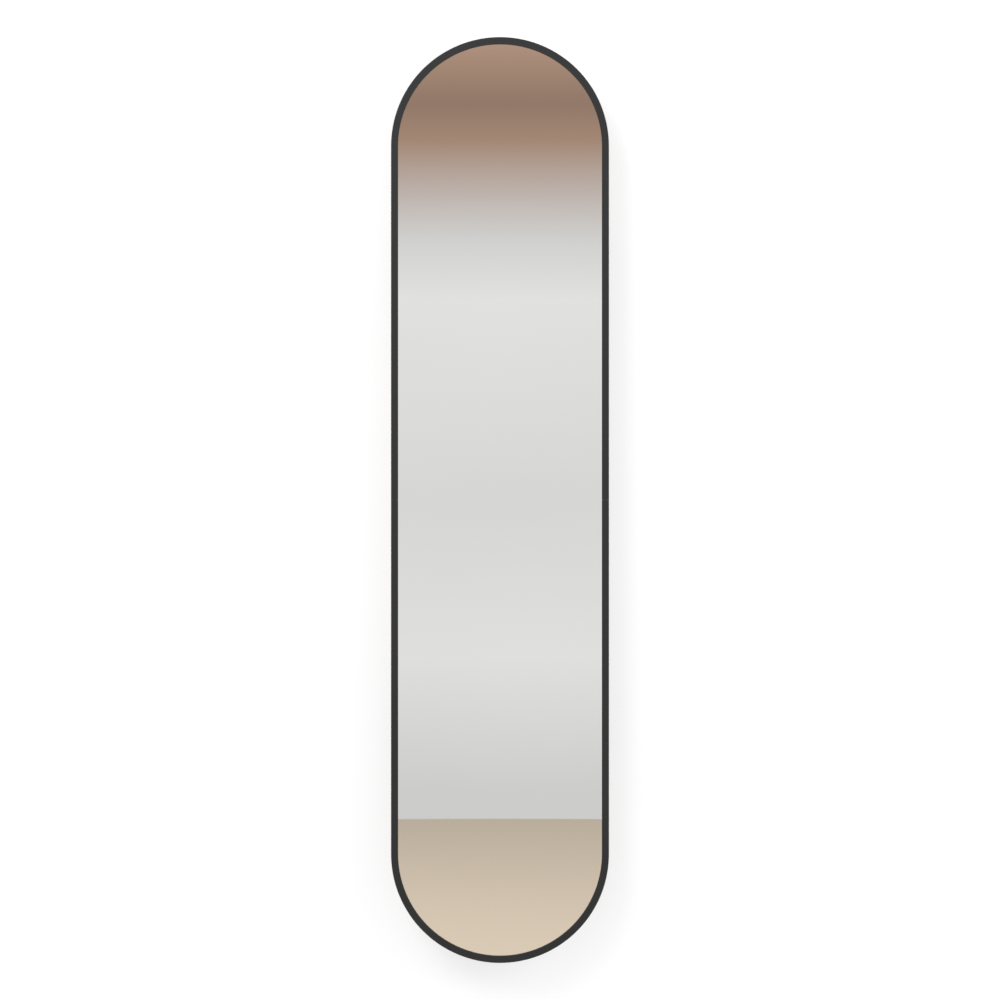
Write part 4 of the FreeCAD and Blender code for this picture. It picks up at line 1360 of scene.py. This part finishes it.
def middle_member(sizes, section):
    """Member between the ball rows, with a hole through which the front panel screw is reached."""
    start = MIDDLE_LOW.x
    web = section.middle_web
    inner = section.inner_ball
    pen = Pen(slide_point(start, web, 0)).to(slide_point(start, web, inner.y))
    pen.about(slide_point(start, *inner), ALONG_X, 180 - math.degrees(sizes.race_angle))
    pen.about(slide_point(start, *section.outer_ball), -ALONG_X, sizes.middle_curl)
    member = sheet_metal(pen, ALONG_X * (MIDDLE_HIGH.x - start), sizes.sheet, True)
    reach = sizes.sheet / 2 + sizes.cage_gap + sizes.cage_sheet
    weld(member, pressed_stop(sizes, MIDDLE_HIGH.x - sizes.stop_inset - sizes.sheet, web, web + reach))
    weld(member, pressed_stop(sizes, start, web - reach, web))
    access = slide_point(sizes.access_place, web, 0)
    tools = holes(sizes.access_hole, [access], ALONG_Y * web, ALONG_Y * -web, sides=48)
    return cut(member, *tools, *web_slots(sizes, web, MIDDLE_SLOTS))


def inner_member(sizes, section, hardware):
    """Member that carries the upright, with rolled inner races and a bent rear stop."""
    start = INNER_LOW.x
    web = section.inner_web
    turn = math.radians(sizes.roll_angle)
    roll = section.inner_ball + Vector((math.cos(turn), math.sin(turn))) * (section.race + sizes.roll)
    crown = slide_point(start, roll.x, roll.y + sizes.roll)
    pen = Pen(slide_point(start, web, 0))
    pen.round(slide_point(start, web, roll.y + sizes.roll), crown, sizes.bend).to(crown)
    pen.about(slide_point(start, *roll), -ALONG_X, sizes.roll_angle - 270)
    pen.about(slide_point(start, *section.inner_ball), ALONG_X, sizes.inner_curl)
    member = sheet_metal(pen, ALONG_X * (INNER_HIGH.x - start), sizes.sheet, True)
    weld(member, pressed_stop(sizes, start, section.inner_cage_web - sizes.cage_sheet / 2, web))
    tools = holes(hardware.screw_hole, slide_seats(hardware), Vector(), ALONG_Y * INNER_HOLE_REACH)
    return cut(member, *tools, *web_slots(sizes, web, INNER_SLOTS))


def ball_rows(sizes, middle, ball):
    """Ball centres of one cage: two rows, above and below the slide's middle."""
    first = -(sizes.balls_per_row - 1) / 2
    steps = [(first + index) * sizes.ball_pitch for index in range(sizes.balls_per_row)]
    return [slide_point(middle + step, ball.x, side * ball.y) for side in (1, -1) for step in steps]


def cage(sizes, low, high, web, level, places):
    """Retainer strip of one pair of ball rows: round windows and a long slot with round corners."""
    pen = Pen(slide_point(low.x, web, 0))
    rim = slide_point(low.x, -low.y, level)
    pen.round(slide_point(low.x, web, level), rim, sizes.cage_bend).to(rim)
    strip = sheet_metal(pen, ALONG_X * (high.x - low.x), sizes.cage_sheet, True)
    windows = holes(sizes.ball + sizes.ball_clearance, places, ALONG_Z * -CLEAR, ALONG_Z * CLEAR, sides=24)
    half_length = (high.x - low.x) / 2 - sizes.cage_slot_inset
    half_height = sizes.cage_slot_width / 2
    slot = oblong((low.x + high.x) / 2, web, CLEAR, half_length, half_height, sizes.cage_slot_corner)
    return cut(strip, *windows, slot)


def ball_set(sizes, places):
    """Balls at places, each a cube that is subdivided and cast to a sphere."""
    deselect()
    bpy.ops.mesh.primitive_cube_add(size=2 * sizes.ball)
    pattern = bpy.context.object
    edit(pattern)
    bpy.ops.mesh.subdivide(number_cuts=BALL_CUTS)
    bpy.ops.transform.tosphere(value=1)
    deselect()
    reach = max(point.co.length for point in pattern.data.vertices)
    edit(pattern)
    bpy.ops.transform.resize(value=(sizes.ball / reach,) * 3)
    deselect()
    copies = [copy_of(pattern, Matrix.Translation(place)) for place in places]
    bpy.data.objects.remove(pattern)
    return joined(*copies)


def rear_bumper(sizes):
    """Elastomer block that the closed slide meets, with relief grooves in its face."""
    bumper = block(BUMPER_LOW, BUMPER_HIGH)
    round_edges(bumper, lambda place, way: near(place.y, BUMPER_LOW.y), sizes.bumper_round, segments=5)
    grooves = []
    for step in (-1, 0, 1):
        middle = Vector((BUMPER_HIGH.x, BUMPER_LOW.y, SLIDE_LEVEL + step * sizes.bumper_pitch))
        grooves.append(block(middle - BUMPER_GROOVE, middle + BUMPER_GROOVE))
    return cut(bumper, *grooves)


class MIRROR_OT_slides(Operator):
    """Builds both ball-bearing slides: three members, two ball cages, the balls and the rear bumper"""

    bl_idname = "mirror.slides"
    bl_label = "Slides"

    def execute(self, context):
        sizes = context.scene.mirror_slides
        section = SlideSection(sizes)
        outer = outer_member(sizes, section)
        dress_each(outer, "outer_rail", "closet_side", "slide_steel", "outer_member", edge=0.12)
        middle = middle_member(sizes, section)
        dress_each(middle, "middle_rail", "{level}middle_slide", "slide_steel", "middle_member", edge=0.12)
        inner = inner_member(sizes, section, context.scene.mirror_hardware)
        dress_each(inner, "inner_rail", "carriage", "slide_steel", "inner_member", edge=0.12)
        cages = (
            ("outer_", section.outer_cage_web, section.outer_ball),
            ("inner_", section.inner_cage_web, section.inner_ball),
        )
        for kind, web, ball in cages:
            low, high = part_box("upper_" + kind + "cage")
            places = ball_rows(sizes, (low.x + high.x) / 2, ball)
            body = "{level}" + kind + "retainer"
            strip = cage(sizes, low, high, web, ball.y, places)
            dress_each(strip, kind + "retainer_strip", body, "cage_steel", kind + "cage", edge=0.08)
            balls = ball_set(sizes, places)
            dress_each(balls, kind + "bearing_balls", body, "ball_steel", kind + "balls", edge=0)
        dress_each(rear_bumper(sizes), "end_bumper", "closet_side", "black_rubber", "rear_bumper", edge=0.2)
        return {"FINISHED"}


# ---------------------------------------------------------------- stage

# Lights: place, the point they look at, size, whose power they take and how much of it, and tint.
LIGHTS = {
    "key": ((-1.9, -2.6, 2.5), (0, 0, 0.1), 2.2, "key_power", 1.0, (1.0, 0.99, 0.98)),
    "fill": ((2.6, -1.8, 1.0), (0, 0, 0), 1.8, "fill_power", 1.0, (0.98, 0.99, 1.0)),
    "back_key": ((1.8, 2.6, 2.2), (0, 0, 0), 3.6, "key_power", 0.7, (1, 1, 1)),
    "back_fill": ((-2.4, 2.0, 0.6), (0, 0, 0), 2.8, "fill_power", 0.8, (1, 1, 1)),
}

# Studio as the glass shows it, from its floor up: its lowest and highest level, and each band's place
# between them, tone and strength.
BAND_LEVELS = (-0.2, 0.6)
BANDS = (
    (0.00, "wall", 0.85),
    (0.12, "wall", 0.90),
    (0.18, "wall", 1.10),
    (0.25, "wall", 1.00),
    (0.34, "wall", 1.12),
    (0.365, "wall", 0.95),
    (0.41, "ceiling", 1.10),
    (0.427, "ceiling", 0.83),
    (0.455, "ceiling", 1.30),
    (0.80, "wall", 1.10),
)
SOFT_LIGHT = (0.82, 0.83, 0.85, 1.0)
BEHIND_ALL = (0.93, 0.93, 0.93, 1.0)
WHITE = (1.0, 1.0, 1.0, 1.0)
STAGE_GRAIN = 2.0
FLOOR_RADIUS = 5.0
FLOOR_ROUGHNESS = (0.55, 0.65)
BACKDROP_SIZE = 4.0
BACKDROP_ROUGHNESS = (0.9, 1.0)
BACKDROP_PLACE = (0, 2 * MM, 0.4)
UPRIGHT_TURN = (math.pi / 2, 0, 0)


def area_light(stage, name, place, target, size, power, share, tint):
    """Soft square light that looks at a point."""
    data = bpy.data.lights.new(name, "AREA")
    data.shape = "SQUARE"
    data.size = size
    data.energy = getattr(stage, power) * share
    data.color = tint
    lamp = bpy.data.objects.new(name, data)
    lamp.location = place
    lamp.rotation_euler = (Vector(target) - Vector(place)).to_track_quat("-Z", "Y").to_euler()
    bpy.context.scene.collection.objects.link(lamp)


def stage_surface(name, finish, tone, roughness, hidden, glow=0.0):
    """Finishes the active object as part of the stage, clear from behind; glow lifts its shadows."""
    surface = bpy.context.object
    surface.name = name
    material, tree, shader, place = new_material(finish)
    shader.inputs["Base Color"].default_value = toned(tone)
    shader.inputs["Emission Color"].default_value = WHITE
    shader.inputs["Emission Strength"].default_value = glow
    gloss = spread(tree, noise(tree, place, STAGE_GRAIN), *roughness)
    tree.links.new(gloss, shader.inputs["Roughness"])
    behind = node(tree, "ShaderNodeNewGeometry").outputs["Backfacing"]
    clear = node(tree, "ShaderNodeBsdfTransparent").outputs[0]
    mix = node(tree, "ShaderNodeMixShader", [(0, behind), (1, shader.outputs[0]), (2, clear)])
    tree.links.new(mix.outputs[0], tree.nodes["Material Output"].inputs["Surface"])
    surface.data.materials.append(material)
    for ray in hidden:
        setattr(surface, "visible_" + ray, False)
    return surface


def studio_world(stage):
    """World: white for the camera, soft light for the object, pale wall and warm top in reflections."""
    world = bpy.data.worlds.new("Studio")
    bpy.context.scene.world = world
    world.use_nodes = True
    tree = world.node_tree
    way = node(tree, "ShaderNodeTexCoord").outputs["Generated"]
    height = node(tree, "ShaderNodeSeparateXYZ", [(0, way)]).outputs["Z"]
    ramp = node(tree, "ShaderNodeValToRGB", [("Fac", spread(tree, height, 0.0, 1.0, *BAND_LEVELS))])
    points = ramp.color_ramp.elements
    while len(points) < len(BANDS):
        points.new(0.5)
    for point, (position, tone, strength) in zip(points, BANDS):
        point.position = position
        point.color = toned(getattr(stage, tone), strength)
    path = node(tree, "ShaderNodeLightPath").outputs
    soft = blended(tree, path["Is Glossy Ray"], SOFT_LIGHT, ramp.outputs["Color"])
    seen = blended(tree, path["Is Camera Ray"], soft, BEHIND_ALL)
    tree.links.new(seen, tree.nodes["Background"].inputs["Color"])


class MIRROR_OT_stage(Operator):
    """Sets up the floor, the backdrop, the lights and the camera"""

    bl_idname = "mirror.stage"
    bl_label = "Stage"

    def execute(self, context):
        stage = context.scene.mirror_stage
        data = bpy.data.cameras.new("camera")
        data.lens = stage.lens
        data.sensor_width = stage.sensor
        camera = bpy.data.objects.new("camera", data)
        camera.location = (0, RIM_LOW.y - stage.view_height * stage.lens / stage.sensor, 0)
        camera.rotation_euler = UPRIGHT_TURN
        context.scene.collection.objects.link(camera)
        context.scene.camera = camera
        context.scene.view_settings.view_transform = "Standard"
        deselect()
        level = (0, 0, stage.floor_level)
        bpy.ops.mesh.primitive_circle_add(vertices=128, radius=FLOOR_RADIUS, fill_type="NGON", location=level)
        floor = stage_surface("floor", "pale_floor", stage.floor, FLOOR_ROUGHNESS, ["diffuse"])
        deselect()
        bpy.ops.mesh.primitive_plane_add(size=BACKDROP_SIZE, location=BACKDROP_PLACE, rotation=UPRIGHT_TURN)
        hidden = ["diffuse", "glossy", "transmission", "shadow"]
        naming = ("backdrop", "white_panel")
        backdrop = stage_surface(*naming, stage.backdrop, BACKDROP_ROUGHNESS, hidden, stage.glow)
        for name, settings in LIGHTS.items():
            area_light(stage, name, *settings)
        studio_world(stage)
        return {"FINISHED"}


# ---------------------------------------------------------------- add-on

SETTINGS = {
    "mirror_frame": FrameSizes,
    "mirror_hardware": HardwareSizes,
    "mirror_slides": SlideSizes,
    "mirror_finishes": Finishes,
    "mirror_stage": StageSettings,
}
OPERATORS = (
    MIRROR_OT_stage,
    MIRROR_OT_frame,
    MIRROR_OT_panes,
    MIRROR_OT_keys,
    MIRROR_OT_crossbars,
    MIRROR_OT_buffers,
    MIRROR_OT_pivots,
    MIRROR_OT_pivot_blocks,
    MIRROR_OT_upright,
    MIRROR_OT_caps,
    MIRROR_OT_tips,
    MIRROR_OT_screws,
    MIRROR_OT_slides,
)


class MIRROR_PT_sidebar(Panel):
    """Sidebar panel with every piece's operator and the sizes and colours"""

    bl_idname = "MIRROR_PT_sidebar"
    bl_label = "Closet Mirror"
    bl_space_type = "VIEW_3D"
    bl_region_type = "UI"
    bl_category = "Closet Mirror"

    def draw(self, context):
        for operator in OPERATORS:
            self.layout.operator(operator.bl_idname)
        for name, kind in SETTINGS.items():
            box = self.layout.box()
            box.label(text=kind.__doc__)
            for size in kind.__annotations__:
                box.prop(getattr(context.scene, name), size)


CLASSES = (*SETTINGS.values(), *OPERATORS, MIRROR_PT_sidebar)


def register():
    for cls in CLASSES:
        bpy.utils.register_class(cls)
    for name, kind in SETTINGS.items():
        setattr(bpy.types.Scene, name, PointerProperty(type=kind))


def unregister():
    for name in SETTINGS:
        delattr(bpy.types.Scene, name)
    for cls in reversed(CLASSES):
        bpy.utils.unregister_class(cls)


def main():
    register()
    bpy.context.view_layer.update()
    for operator in OPERATORS:
        group_name, operator_name = operator.bl_idname.split(".")
        getattr(getattr(bpy.ops, group_name), operator_name)()


if __name__ == "__main__":
    main()
